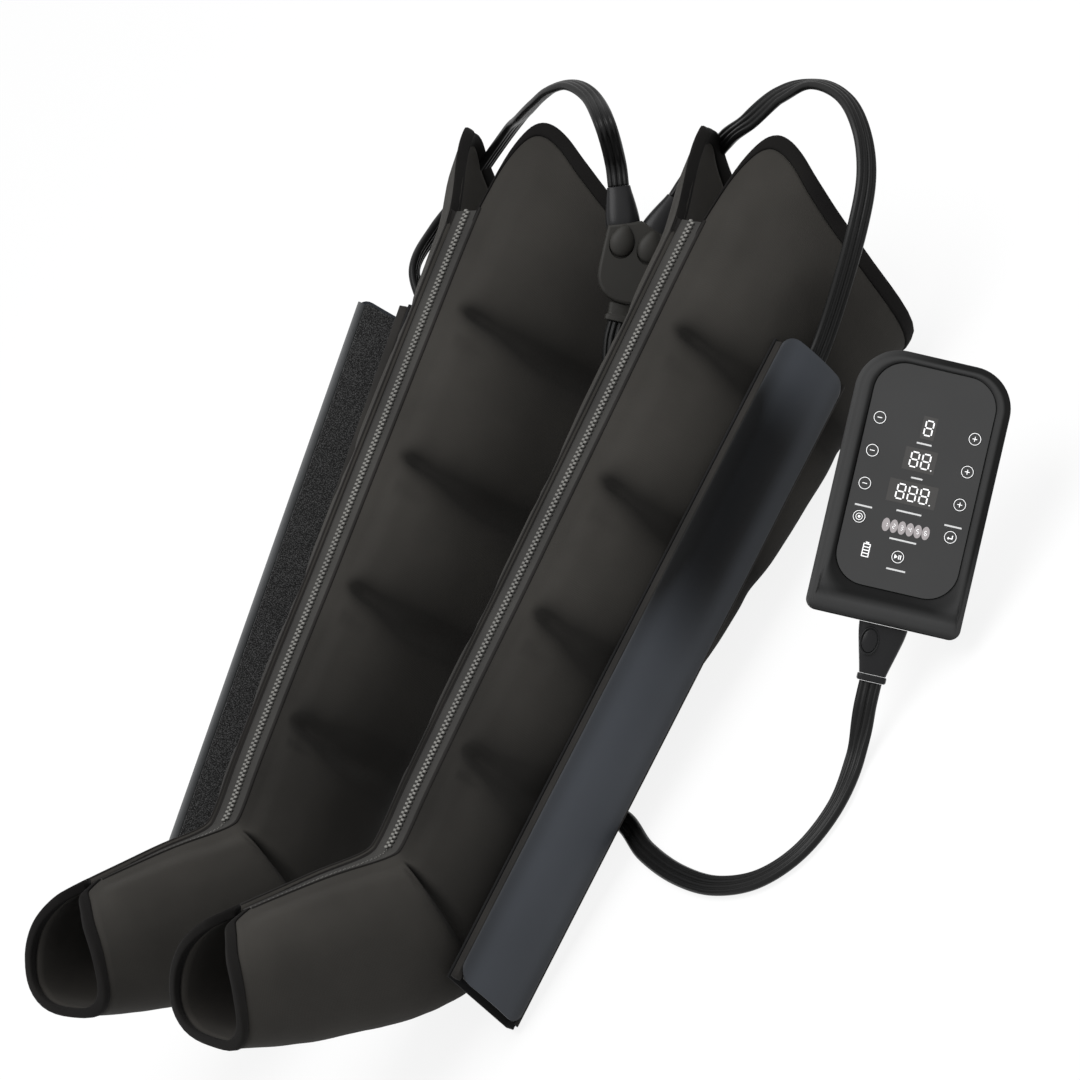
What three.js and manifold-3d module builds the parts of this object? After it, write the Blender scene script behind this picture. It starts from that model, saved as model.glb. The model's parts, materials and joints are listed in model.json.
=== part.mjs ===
import * as THREE from 'three';
import Module from 'manifold-3d';
import { mergeVertices } from 'three/addons/utils/BufferGeometryUtils.js';

// An air-compression therapy set: two six-chamber leg boots lying on their
// calves, the hoses and splitter that feed them, and the hand-held pump.
// Millimetres, +Z up, +Y from the feet to the thighs, +X to the wearer's left.

const wasm = await Module();
wasm.setup();
const radians = THREE.MathUtils.degToRad;
const { smoothstep, lerp } = THREE.MathUtils;

// Gap between pieces that touch.
const touchGap = 0.3;

// Boots. Lengths along a boot are shares of its span.
const bootSpan = 800;
const bootSpacing = 241.8;
const bootSplay = radians(3.976);
const wallThickness = 9;
const toeWall = 5;
const chamberPuff = 4.5;
const creaseDepth = 6;
const creaseSpreadShare = 0.3;
const legSlitHalf = 18;
const toeSlitHalf = 8;
const eggShare = 0.2;
const fullBackShare = 0.1;
const bindingWidth = 14;
const bindingSwell = 1.2;
const bindingGap = 0.6;
const lobeFlare = 14;

// Stations from the toe to the rim, as shares of the span:
// front line along and up, back line along and up, half width.
const stationShares = [
  [-0.2001, 0.3392, -0.2751, 0.238, 0.067],
  [-0.1443, 0.3003, -0.239, 0.187, 0.068],
  [-0.0961, 0.2646, -0.199, 0.138, 0.069],
  [-0.0519, 0.2318, -0.159, 0.093, 0.07],
  [-0.016, 0.203, -0.119, 0.055, 0.071],
  [0.002, 0.192, -0.076, 0.024, 0.072],
  [0.014, 0.191, -0.028, 0, 0.074],
  [0.035, 0.193, 0.03, 0.001, 0.077],
  [0.07, 0.198, 0.07, 0.016, 0.08],
  [0.118, 0.204, 0.118, 0.02, 0.084],
  [0.21, 0.215, 0.21, 0.012, 0.091],
  [0.31, 0.226, 0.31, 0.002, 0.098],
  [0.41, 0.238, 0.41, -0.004, 0.105],
  [0.51, 0.25, 0.51, -0.006, 0.111],
  [0.61, 0.262, 0.61, -0.006, 0.117],
  [0.71, 0.274, 0.71, -0.004, 0.122],
  [0.81, 0.284, 0.81, -0.002, 0.126],
  [0.9, 0.293, 0.9, 0, 0.129],
];

// Chamber seams, as station numbers.
const creaseShares = [5.3, 9.16, 10.84, 12.43, 14.23];

// Columns round a boot from the zipper slit to the back, as shares of that turn,
// with the height of the top rim and the reach of the toe rim at each.
const columnShares = [0, 0.025, 0.055, 0.09, 0.135, 0.19, 0.26, 0.36, 0.49, 0.65, 0.82, 1];
const rimShares = [0.757, 0.822, 0.857, 0.874, 0.877, 0.87, 0.857, 0.84, 0.825, 0.808, 0.793, 0.79];
const toeShares = [1, 0.8, 0.62, 0.56, 0.5, 0.42, 0.33, 0.24, 0.14, 0.05, 0, 0];
const toeBlend = 2;
const rimBlend = 14;
const topStation = 17;

// Hose channels on the outer side of each boot, in the boot's own frame:
// the hinge line's top and bottom as shares of the span, the way across to the
// free edge, and how far the free edge is set up the boot and the hose lies, as
// shares of the width.
const channelWidth = 71;
const channelShares = {
  left: {
    top: [0.14625, 0.68375, 0.09125], bottom: [0.1225, -0.08375, 0.00425],
    across: [-0.16, 0.987], slant: 0.182, lane: 0.45,
  },
  right: {
    top: [0.14, 0.6725, 0.15575], bottom: [0.12625, -0.075, 0.03625],
    across: [-0.42, 0.907], slant: 0.1, lane: 0.45,
  },
};
// Wall left where the channel is pressed into a boot, and how far round the
// channel the boot gives way.
const pressedWall = 4;
const pressMargin = 40;
const pressFade = 74;
const flapThickness = 2.4;
const hookThickness = 1.4;
const channelRoom = 9.6;
const baseThickness = 3;
const flapCorner = 13;
const hookInset = 10;
const edgeStripWidth = 6;
const baseOverhang = 3;
const baseTrim = 8;
const wallStrip = 2.4;
const rightFlapOpen = radians(45);
const channelTop = flapThickness + hookThickness + touchGap + channelRoom;
const channelDepth = channelTop + touchGap + baseThickness;
const inletLength = 34;
const inletDrop = 62;

// Hoses: flat ribbed tube.
const hoseWidth = 19;
const hoseThickness = 8;

// Pump: face centre, facing direction and roll.
const pumpCentre = [485.4, 417.9, 109.3];
const faceAzimuth = radians(70);
const faceElevation = radians(32.1);
const faceRoll = radians(-62.5);
const pumpWidth = 129;
const pumpHeight = 225;
const pumpDepth = 50;
const pumpTopRadius = 35;
const pumpBottomRadius = 9;
const pumpBevel = 4;
const pumpWall = 2.6;
const pumpFrontDepth = 40;
const pumpFrontWall = 5.4;
const panelWidth = 103;
const panelHeight = 187;
const panelRadius = 26;
const panelRise = 9.5;
const panelShift = 0.8;
const recessDepth = 3.4;
const panelThickness = 1.8;
const keyRadius = 5.3;
const keyThickness = 1.6;
const keyProud = 0.3;

const splitterCentre = [6.8, 600.8, 147.7];
const splitterHalf = 28;
const splitterDepth = 24;
const splitterLean = radians(20);
const plugLength = 33;
const plugSpread = 15.5;

const pieces = new THREE.Group();

const looks = {
  fabric: { color: 0x2b2a28, roughness: 0.85, metalness: 0 },
  binding: { color: 0x1f1e1d, roughness: 0.8, metalness: 0 },
  tape: { color: 0x3a3b3b, roughness: 0.8, metalness: 0 },
  teeth: { color: 0x9a9a98, roughness: 0.45, metalness: 0.1 },
  flap: { color: 0x3b3e42, roughness: 0.45, metalness: 0 },
  hook: { color: 0x0d0d0d, roughness: 0.95, metalness: 0 },
  shell: { color: 0x3b3b3b, roughness: 0.4, metalness: 0 },
  panel: { color: 0x434343, roughness: 0.35, metalness: 0 },
  key: { color: 0x4a4a4a, roughness: 0.35, metalness: 0 },
  hose: { color: 0x232323, roughness: 0.35, metalness: 0 },
  plug: { color: 0x2e3031, roughness: 0.35, metalness: 0 },
  splitter: { color: 0x4d4c4a, roughness: 0.5, metalness: 0 },
  board: { color: 0x1f4a2c, roughness: 0.6, metalness: 0 },
  battery: { color: 0x2a4d8a, roughness: 0.5, metalness: 0 },
  metal: { color: 0x9b9b9b, roughness: 0.35, metalness: 0.9 },
  rubber: { color: 0x151515, roughness: 0.9, metalness: 0 },
};

function signedVolume(geometry) {
  const p = geometry.getAttribute('position');
  const index = geometry.index;
  const a = new THREE.Vector3();
  const b = new THREE.Vector3();
  const c = new THREE.Vector3();
  let sum = 0;
  for (let i = 0; i < index.count; i += 3) {
    a.fromBufferAttribute(p, index.getX(i));
    b.fromBufferAttribute(p, index.getX(i + 1));
    c.fromBufferAttribute(p, index.getX(i + 2));
    sum += a.dot(b.cross(c));
  }
  return sum;
}

// Welds a geometry and turns its faces outwards.
function welded(geometry) {
  const bare = new THREE.BufferGeometry();
  bare.setAttribute('position', geometry.getAttribute('position'));
  bare.setIndex(geometry.index);
  const merged = mergeVertices(bare, 1e-4);
  if (signedVolume(merged) < 0) {
    const index = merged.index;
    for (let i = 0; i < index.count; i += 3) {
      const held = index.getX(i + 1);
      index.setX(i + 1, index.getX(i + 2));
      index.setX(i + 2, held);
    }
  }
  return merged;
}

function solid(geometry) {
  const merged = welded(geometry);
  return new wasm.Manifold(new wasm.Mesh({
    numProp: 3,
    vertProperties: new Float32Array(merged.getAttribute('position').array),
    triVerts: new Uint32Array(merged.index.array),
  }));
}

function shaped(body) {
  const mesh = body.getMesh();
  const geometry = new THREE.BufferGeometry();
  geometry.setAttribute('position', new THREE.BufferAttribute(mesh.vertProperties, 3));
  geometry.setIndex(new THREE.BufferAttribute(mesh.triVerts, 1));
  return geometry;
}

function cut(geometry, ...tools) {
  let body = solid(geometry);
  for (const tool of tools) body = body.subtract(solid(tool));
  return shaped(body);
}

function fromFaces(points, faces) {
  const geometry = new THREE.BufferGeometry();
  const numbers = points.flatMap((p) => [p.x, p.y, p.z]);
  geometry.setAttribute('position', new THREE.Float32BufferAttribute(numbers, 3));
  geometry.setIndex(faces);
  return geometry;
}

// A closed body through a row of closed sections with the same point count.
function loft(rings) {
  const count = rings[0].length;
  const faces = [];
  for (let i = 0; i < rings.length - 1; i += 1) {
    for (let j = 0; j < count; j += 1) {
      const k = (j + 1) % count;
      const a = i * count + j;
      const b = i * count + k;
      faces.push(a, b, b + count, a, b + count, a + count);
    }
  }
  const end = (rings.length - 1) * count;
  for (let j = 1; j < count - 1; j += 1) {
    faces.push(0, j + 1, j);
    faces.push(end, end + j, end + j + 1);
  }
  return fromFaces(rings.flat(), faces);
}

function piece(parent, name, geometry, look) {
  const closed = welded(geometry);
  const flat = closed.toNonIndexed();
  flat.computeVertexNormals();
  const mesh = new THREE.Mesh(flat, new THREE.MeshStandardMaterial(looks[look]));
  mesh.name = name;
  parent.add(mesh);
  return mesh;
}

function box(width, height, depth, x, y, z) {
  return new THREE.BoxGeometry(width, height, depth).translate(x, y, z);
}

function cylinderZ(radius, length, x, y, z, sides) {
  return new THREE.CylinderGeometry(radius, radius, length, sides).rotateX(Math.PI / 2).translate(x, y, z);
}

function spline(values, at) {
  const last = values.length - 1;
  const held = Math.min(Math.max(at, 0), last);
  const i = Math.min(Math.floor(held), last - 1);
  const t = held - i;
  const p0 = values[Math.max(i - 1, 0)];
  const p1 = values[i];
  const p2 = values[i + 1];
  const p3 = values[Math.min(i + 2, last)];
  const lower = 2 * p1 + (p2 - p0) * t + (2 * p0 - 5 * p1 + 4 * p2 - p3) * t * t;
  return (lower + (3 * p1 - p0 - 3 * p2 + p3) * t * t * t) / 2;
}

const stationTable = stationShares[0].map((_, k) => stationShares.map((row) => row[k] * bootSpan));

// Half angle of the zipper slit at a station.
function slitAngle(at) {
  const half = spline(stationTable[4], at);
  const width = lerp(toeSlitHalf, legSlitHalf, smoothstep(at, 1, 6));
  return Math.asin(width / (half * (1 - eggShare)));
}

// Swelling of the chambers, drawn in at the seams, strongest beside the zipper.
function swelling(at, share) {
  let seam = 0;
  for (const crease of creaseShares) {
    const away = 2 * (at - crease) / creaseSpreadShare;
    seam = Math.max(seam, 1 / (1 + away * away));
  }
  const open = smoothstep(share, 0.03, 0.14);
  const back = 1 - 0.8 * smoothstep(share, 0.35, 0.7);
  return (chamberPuff - (chamberPuff + creaseDepth) * seam) * open * back;
}

// A point of a left boot in its own frame. The share runs from the slit to the
// back, the inset is measured inwards from the outer skin.
function bootPoint(at, share, inset, puffed) {
  const [fy, fz, by, bz, half] = stationTable.map((values) => spline(values, at));
  const slit = slitAngle(at);
  const turn = slit + (Math.PI - slit) * Math.abs(share);
  const reach = Math.hypot(fy - by, fz - bz) / 2;
  const dy = (fy - by) / 2 / reach;
  const dz = (fz - bz) / 2 / reach;
  const grow = (puffed ? swelling(at, Math.abs(share)) : 0) - inset;
  const full = turn > Math.PI / 2 ? 1 + fullBackShare * Math.sin(2 * turn) ** 2 : 1;
  const side = Math.sin(turn) * (half + grow) * (1 - eggShare * Math.cos(turn)) * full;
  const lift = Math.cos(turn) * (reach + grow) * full;
  const sign = share < 0 || Object.is(share, -0) ? -1 : 1;
  return new THREE.Vector3(sign * side, (fy + by) / 2 + dy * lift, (fz + bz) / 2 + dz * lift);
}

// Station number of the top rim at a column.
function rimStation(k) {
  let at = rimBlend;
  const target = rimShares[k] * bootSpan;
  for (let i = 0; i < 40; i += 1) {
    const p = bootPoint(at, columnShares[k], 0, false);
    at += (target - p.y) / (bootSpan * 0.11);
  }
  return Math.min(at, topStation);
}

const rimStations = columnShares.map((_, k) => rimStation(k));

// Station number for a nominal row at a column, bent to the two rims.
function rowStation(nominal, k, toeTrim, rimTrim) {
  if (nominal < toeBlend) {
    const start = toeShares[k] + toeTrim;
    return start + (nominal / toeBlend) * (toeBlend - start);
  }
  if (nominal > rimBlend) {
    const end = rimStations[k] - rimTrim;
    return rimBlend + ((nominal - rimBlend) / (topStation - rimBlend)) * (end - rimBlend);
  }
  return nominal;
}

const columns = [
  ...columnShares.map((share, k) => ({ share, k, sign: 1 })),
  ...columnShares.slice(0, -1).map((share, k) => ({ share, k, sign: -1 })).reverse(),
];

const seamRows = creaseShares.flatMap((c) => [-0.34, -0.12, 0, 0.12, 0.34].map((d) => c + d));
const plainRows = [0, 1, 2, 3.2, 4.3, 6.2, 7.2, 8.2, 10, 11.65, 15.2, 16.1, topStation];
const bootRows = [...seamRows, ...plainRows].sort((a, b) => a - b);
const liningRows = [
  0, 1, 2, 3.2, 4.3, creaseShares[0], 6.2, 7.2, 8.2, 10, 11.65, creaseShares[4], 16.1, topStation,
];
const stationPitchTop = 0.095 * bootSpan;
const stationPitchToe = 0.066 * bootSpan;
const rimTrim = (bindingWidth + bindingGap) / stationPitchTop;
const toeTrim = (bindingWidth + bindingGap) / stationPitchToe;

// Wall thickness, thinner towards the toe opening.
function wallAt(at) {
  return lerp(toeWall, wallThickness, smoothstep(at, 0.5, 3));
}

// A point of one column of a boot on its side of the set. The lobe beside the
// zipper that faces -X falls open a little.
function columnPoint(side, column, at, inset, puffed) {
  const share = column.sign < 0 ? -column.share : column.share;
  const p = bootPoint(at, share, inset, puffed);
  if (column.sign < 0 && column.share === 0) p.x = -Math.abs(p.x);
  if (column.sign * side < 0) {
    const fall = smoothstep(at, 15.2, 16.5) * (1 - smoothstep(column.share, 0.15, 0.5));
    p.x += column.sign * lobeFlare * fall;
  }
  return p;
}

// Joins two rows of points that run between the same ends, by share along each.
function stitch(faces, one, other, oneShares, otherShares) {
  let i = 0;
  let j = 0;
  while (i < one.length - 1 || j < other.length - 1) {
    const nextOne = i < one.length - 1 ? oneShares[i + 1] : Infinity;
    const nextOther = j < other.length - 1 ? otherShares[j + 1] : Infinity;
    if (nextOne <= nextOther) {
      faces.push(one[i], one[i + 1], other[j]);
      i += 1;
    } else {
      faces.push(one[i], other[j + 1], other[j]);
      j += 1;
    }
  }
}

function skin(side, rows, lining) {
  return rows.flatMap((nominal) => {
    const swollen = !lining && nominal > 0 && nominal < topStation;
    return columns.map((column) => {
      const at = rowStation(nominal, column.k, toeTrim, rimTrim);
      return columnPoint(side, column, at, lining ? wallAt(at) : 0, swollen);
    });
  });
}

// The padded shell: a puffed outer skin and a plain lining, joined round all four
// edges, and pressed flat behind the hose channel.
function bootShell(side, frame) {
  const outer = skin(side, bootRows, false);
  const lining = skin(side, liningRows, true);
  const press = (points, depth) => {
    const seat = frame.origin.clone().addScaledVector(frame.outward, -channelDepth - touchGap - depth);
    for (const p of points) {
      const from = p.clone().sub(frame.origin);
      const acrossRun = from.dot(frame.across);
      const upRun = from.dot(frame.up) - acrossRun * frame.slant;
      const beside = 1 - smoothstep(acrossRun, channelWidth + pressMargin, channelWidth + pressFade);
      const below = smoothstep(upRun, -2 * pressFade, -2 * pressMargin);
      const above = 1 - smoothstep(upRun, frame.length + pressMargin, frame.length + pressFade);
      const over = p.clone().sub(seat).dot(frame.outward);
      p.addScaledVector(frame.outward, -Math.max(over, 0) * beside * below * above);
    }
  };
  press(outer, 0);
  press(lining, pressedWall);
  const across = columns.length;
  const base = outer.length;
  const faces = [];
  const quad = (a, b, c, d) => faces.push(a, b, c, a, c, d);
  const cover = (rows, first, outwards) => {
    for (let i = 0; i < rows - 1; i += 1) {
      for (let j = 0; j < across - 1; j += 1) {
        const q = first + i * across + j;
        if (outwards) quad(q, q + 1, q + across + 1, q + across);
        else quad(q, q + across, q + across + 1, q + 1);
      }
    }
  };
  cover(bootRows.length, 0, true);
  cover(liningRows.length, base, false);
  const column = (rows, first, j) => rows.map((_, i) => first + i * across + j);
  stitch(faces, column(bootRows, 0, 0), column(liningRows, base, 0), bootRows, liningRows);
  const last = across - 1;
  stitch(faces, column(liningRows, base, last), column(bootRows, 0, last), liningRows, bootRows);
  const end = (bootRows.length - 1) * across;
  const liningEnd = base + (liningRows.length - 1) * across;
  for (let j = 0; j < last; j += 1) {
    quad(j + 1, j, base + j, base + j + 1);
    quad(end + j + 1, liningEnd + j + 1, liningEnd + j, end + j);
  }
  return fromFaces([...outer, ...lining].map((p) => new THREE.Vector3(p.x * side, p.y, p.z)), faces);
}

// A bound edge round a rim: a bead that caps the wall.
function binding(side, top) {
  const pitch = top ? stationPitchTop : stationPitchToe;
  const run = bindingWidth / pitch;
  const rings = columns.map((column) => {
    const rim = top ? rimStations[column.k] : toeShares[column.k];
    const away = top ? -1 : 1;
    const wall = wallAt(rim);
    const profile = [
      [run, -bindingSwell], [run * 0.2, -bindingSwell], [0, wall * 0.25],
      [0, wall * 0.75], [run * 0.2, wall + bindingSwell], [run, wall + bindingSwell],
    ];
    return profile.map(([back, inset]) => {
      const p = columnPoint(side, column, rim + away * back, inset, false);
      return new THREE.Vector3(p.x * side, p.y, p.z);
    });
  });
  return loft(rings);
}

// Strips laid along the front slit, between two station numbers.
function slitStrip(side, rows, halfWidth, top, bottom) {
  const rings = rows.map((at) => {
    const edgeTop = bootPoint(at, 0, top, false);
    const edgeLow = bootPoint(at, 0, bottom, false);
    const half = halfWidth(at, edgeLow.x);
    const rise = new THREE.Vector3(0, edgeTop.y, edgeTop.z);
    const low = new THREE.Vector3(0, edgeLow.y, edgeLow.z);
    return [
      new THREE.Vector3(half * side, rise.y, rise.z), new THREE.Vector3(-half * side, rise.y, rise.z),
      new THREE.Vector3(-half * side, low.y, low.z), new THREE.Vector3(half * side, low.y, low.z),
    ];
  });
  return loft(rings);
}

const tapeInset = 3.2;
const tapeThickness = 1.2;
const tapeMargin = 0.5;
const teethHeight = 1.6;
const teethHalf = 4.6;
const fineTeethHalf = 2.2;
const zipTopShare = 0.757;

function zipRows() {
  const end = rimStations[0];
  const start = toeShares[0] + toeTrim;
  return [start, ...bootRows.filter((at) => at > start + 0.2 && at < end - 0.2), end];
}

const rightAngle = Math.PI / 2;

// Frame of a hose channel: across from the hinge to the free edge, up the boot,
// and inwards from the outer face of the flap.
function channelFrame(spec, side) {
  const top = new THREE.Vector3(spec.top[0] * side, spec.top[1], spec.top[2]).multiplyScalar(bootSpan);
  const bottom = new THREE.Vector3(spec.bottom[0] * side, spec.bottom[1], spec.bottom[2])
    .multiplyScalar(bootSpan);
  const up = top.clone().sub(bottom).normalize();
  const across = new THREE.Vector3(spec.across[0] * side, 0, spec.across[1]);
  across.addScaledVector(up, -across.dot(up)).normalize();
  const outward = up.clone().cross(across).multiplyScalar(side).normalize();
  const length = top.distanceTo(bottom);
  return { origin: bottom, up, across, outward, length, slant: spec.slant };
}

function channelMatrix(frame) {
  const inward = frame.outward.clone().negate();
  const slanted = frame.across.clone().addScaledVector(frame.up, frame.slant);
  return new THREE.Matrix4().makeBasis(slanted, frame.up, inward).setPosition(frame.origin);
}

function roundedRect(x0, y0, x1, y1, radius) {
  const shape = new THREE.Shape();
  shape.moveTo(x0 + radius, y0);
  shape.lineTo(x1 - radius, y0);
  shape.absarc(x1 - radius, y0 + radius, radius, -rightAngle, 0, false);
  shape.lineTo(x1, y1 - radius);
  shape.absarc(x1 - radius, y1 - radius, radius, 0, rightAngle, false);
  shape.lineTo(x0 + radius, y1);
  shape.absarc(x0 + radius, y1 - radius, radius, rightAngle, Math.PI, false);
  shape.lineTo(x0, y0 + radius);
  shape.absarc(x0 + radius, y0 + radius, radius, Math.PI, Math.PI + rightAngle, false);
  return shape;
}

function plate(shape, depth, segments) {
  return new THREE.ExtrudeGeometry(shape, { depth, bevelEnabled: false, curveSegments: segments, steps: 1 });
}

function opened(geometry, frame, angle) {
  const pivot = frame.origin.clone().addScaledVector(frame.outward, -flapThickness);
  const turn = new THREE.Matrix4().makeTranslation(pivot)
    .multiply(new THREE.Matrix4().makeRotationAxis(frame.up, angle))
    .multiply(new THREE.Matrix4().makeTranslation(pivot.clone().negate()));
  return geometry.applyMatrix4(turn);
}

function stadium(halfWide, halfThick, count) {
  const points = [];
  for (let i = 0; i < count; i += 1) {
    const a = (i / count) * 2 * Math.PI;
    const ca = Math.cos(a);
    const sa = Math.sin(a);
    points.push([
      Math.sign(ca) * Math.abs(ca) ** 0.55 * halfWide,
      Math.sign(sa) * Math.abs(sa) ** 0.55 * halfThick,
    ]);
  }
  return points;
}

// A flat hose through route points; each point carries its face direction.
function flatHose(route, steps) {
  const places = route.map((r) => new THREE.Vector3(...r.slice(0, 3)));
  const curve = new THREE.CatmullRomCurve3(places, false, 'centripetal');
  const section = stadium(hoseWidth / 2, hoseThickness / 2, 10);
  const rings = [];
  for (let i = 0; i <= steps; i += 1) {
    const t = i / steps;
    const centre = curve.getPoint(t);
    const tangent = curve.getTangent(t).normalize();
    if (i === 0) tangent.subVectors(curve.points[1], curve.points[0]).normalize();
    if (i === steps) tangent.subVectors(curve.points.at(-1), curve.points.at(-2)).normalize();
    const place = t * (route.length - 1);
    const k = Math.min(Math.floor(place), route.length - 2);
    const blend = smoothstep(place - k, 0, 1);
    const face = new THREE.Vector3(...route[k].slice(3)).normalize();
    face.lerp(new THREE.Vector3(...route[k + 1].slice(3)).normalize(), blend);
    face.addScaledVector(tangent, -face.dot(tangent)).normalize();
    const wide = tangent.clone().cross(face);
    rings.push(section.map(([w, n]) => centre.clone().addScaledVector(wide, w).addScaledVector(face, n)));
  }
  return loft(rings);
}

// The back of a hose channel: a plate with a side wall that the flap is sewn to.
function channelBase(low, high) {
  const floor = channelTop + touchGap;
  const profile = [
    [wallStrip, floor], [channelWidth + 1, floor], [channelWidth + 1, channelDepth],
    [0, channelDepth], [0, flapThickness + touchGap], [wallStrip, flapThickness + touchGap],
  ];
  return loft([low, high].map((y) => profile.map(([x, z]) => new THREE.Vector3(x, y, z))));
}

// A tapered plug along +Y: sections of half width, half thickness and height.
function taperedPlug(sections, count) {
  return loft(sections.map(([w, n, y]) => stadium(w, n, count).map(([a, b]) => new THREE.Vector3(a, y, b))));
}

function facingMatrix(centre) {
  const ca = Math.cos(faceAzimuth);
  const sa = Math.sin(faceAzimuth);
  const ce = Math.cos(faceElevation);
  const out = new THREE.Vector3(sa * ce, -ca * ce, Math.sin(faceElevation));
  const flat = new THREE.Vector3(ca, sa, 0);
  const rise = out.clone().cross(flat);
  const right = flat.multiplyScalar(Math.cos(faceRoll)).addScaledVector(rise, Math.sin(faceRoll));
  const up = out.clone().cross(right);
  return new THREE.Matrix4().makeBasis(right, up, out).setPosition(new THREE.Vector3(...centre));
}

// The boots.
function addBoot(name, side) {
  const group = new THREE.Group();
  group.position.set((side * bootSpacing) / 2, 0, 0);
  group.rotation.z = -side * bootSplay;
  pieces.add(group);
  piece(group, `${name}_boot_shell`, bootShell(side, channelFrame(channelShares[name], 1)), 'fabric');
  piece(group, `${name}_top_binding`, binding(side, true), 'binding');
  piece(group, `${name}_toe_binding`, binding(side, false), 'binding');

  const rows = zipRows();
  const tape = (at, edge) => edge - tapeMargin;
  const tapeStrip = slitStrip(side, rows, tape, tapeInset, tapeInset + tapeThickness);
  piece(group, `${name}_zipper_tape`, tapeStrip, 'tape');
  const teeth = (at) => lerp(fineTeethHalf, teethHalf, smoothstep(at, 5, 6));
  const teethTop = tapeInset - touchGap - teethHeight;
  piece(group, `${name}_zipper_teeth`, slitStrip(side, rows, teeth, teethTop, tapeInset - touchGap), 'teeth');

  const slider = new THREE.Group();
  const low = bootPoint(1.6, 0, tapeInset + tapeThickness, false);
  const high = bootPoint(3.4, 0, tapeInset + tapeThickness, false);
  slider.position.set(0, low.y, low.z);
  slider.rotation.x = Math.atan2(high.z - low.z, high.y - low.y) + Math.PI;
  group.add(slider);
  piece(slider, `${name}_zipper_slider`, box(11, 16, 3.4, 0, 0, 1.7 + touchGap), 'metal');
  piece(slider, `${name}_zipper_puller`, box(6, 22, 1.4, 0, -4, 4.4 + 2 * touchGap), 'metal');

  const spec = channelShares[name];
  const frame = channelFrame(spec, side);
  const matrix = channelMatrix(frame);
  const span = frame.length;
  const base = channelBase(-baseOverhang, span - baseTrim);
  piece(group, `${name}_channel_base`, base.applyMatrix4(matrix), 'hook');
  const stripLow = flapThickness + touchGap;
  const strip = plate(
    roundedRect(channelWidth - edgeStripWidth, -1, channelWidth, span - 10, 1),
    channelTop - stripLow, 1,
  );
  piece(group, `${name}_edge_strip`, strip.translate(0, 0, stripLow).applyMatrix4(matrix), 'hook');
  const angle = side > 0 ? 0 : -rightFlapOpen;
  const flap = plate(roundedRect(0, 0, channelWidth, span, flapCorner), flapThickness, 5).applyMatrix4(matrix);
  piece(group, `${name}_hose_cover_flap`, opened(flap, frame, angle), 'flap');
  const hook = plate(
    roundedRect(4, 2, channelWidth - hookInset, span - 14, 2), hookThickness, 1,
  ).translate(0, 0, flapThickness + touchGap).applyMatrix4(matrix);
  piece(group, `${name}_flap_hook_strip`, opened(hook, frame, angle), 'hook');
  const inlet = taperedPlug([
    [hoseWidth / 2 + 4, channelRoom / 2 - 0.4, 0], [hoseWidth / 2 + 4, channelRoom / 2 - 0.4, inletLength],
  ], 12);
  const seat = flapThickness + hookThickness + touchGap + channelRoom / 2;
  const lane = channelWidth * spec.lane;
  const mouthRun = span - inletDrop + lane * spec.slant;
  const square = channelMatrix({ ...frame, slant: 0 });
  inlet.translate(lane, mouthRun - inletLength, seat);
  piece(group, `${name}_hose_inlet`, inlet.applyMatrix4(square), 'plug');
  const mouth = new THREE.Vector3(lane, mouthRun + touchGap, seat).applyMatrix4(square);
  group.updateMatrixWorld(true);
  const toWorld = group.matrixWorld;
  return {
    mouth: mouth.applyMatrix4(toWorld),
    up: frame.up.clone().transformDirection(toWorld),
    out: frame.outward.clone().transformDirection(toWorld),
  };
}

const leftMouth = addBoot('left', 1);
const rightMouth = addBoot('right', -1);

// The splitter.
const splitter = new THREE.Group();
splitter.applyMatrix4(facingMatrix(splitterCentre));
pieces.add(splitter);
const gableRise = splitterHalf * Math.tan(splitterLean);
const gableEave = 29;
const splitterShape = new THREE.Shape();
splitterShape.moveTo(-splitterHalf, gableEave);
splitterShape.lineTo(-splitterHalf, -8);
splitterShape.bezierCurveTo(-splitterHalf, -28, -15, -36, 0, -36);
splitterShape.bezierCurveTo(15, -36, splitterHalf, -28, splitterHalf, -8);
splitterShape.lineTo(splitterHalf, gableEave);
splitterShape.lineTo(0, gableEave + gableRise);
const splitterBevel = 3;
const splitterBlank = new THREE.ExtrudeGeometry(splitterShape, {
  depth: splitterDepth - 2 * splitterBevel, bevelThickness: splitterBevel, bevelSize: splitterBevel,
  bevelOffset: -splitterBevel, bevelSegments: 2, curveSegments: 6,
}).translate(0, 0, -splitterDepth + splitterBevel);
const domeX = 12.5;
const domeY = 15.5;
const domeHalf = 10.8;
const domeStretch = 1.22;
const pocketDepth = 3.6;
function domePocket(sign) {
  return cylinderZ(domeHalf + touchGap, 2 * pocketDepth, 0, 0, 0, 20).scale(1, domeStretch, 1)
    .translate(sign * domeX, domeY, 0);
}
piece(splitter, 'splitter_body', cut(splitterBlank, domePocket(-1), domePocket(1)), 'splitter');
const domeProfile = [
  [0, -1.8], [domeHalf, -1.8], [domeHalf, 0.4], [domeHalf * 0.86, 2.8], [domeHalf * 0.5, 4.6], [0, 5.2],
];
for (const [name, sign] of [['right', -1], ['left', 1]]) {
  const dome = new THREE.LatheGeometry(domeProfile.map(([r, z]) => new THREE.Vector2(r, z)), 20)
    .rotateX(rightAngle).scale(1, domeStretch, 1);
  const mesh = piece(splitter, `${name}_release_button`, dome, 'splitter');
  mesh.position.set(sign * domeX, domeY, 0);
}
const tailSections = [[13, 7.5, -52], [13, 7.5, -48], [11, 6.5, -46], [12, 7, -36 - touchGap]];
piece(splitter, 'splitter_tail', taperedPlug(tailSections, 12)
  .translate(0, 0, -splitterDepth / 2), 'rubber');
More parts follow.
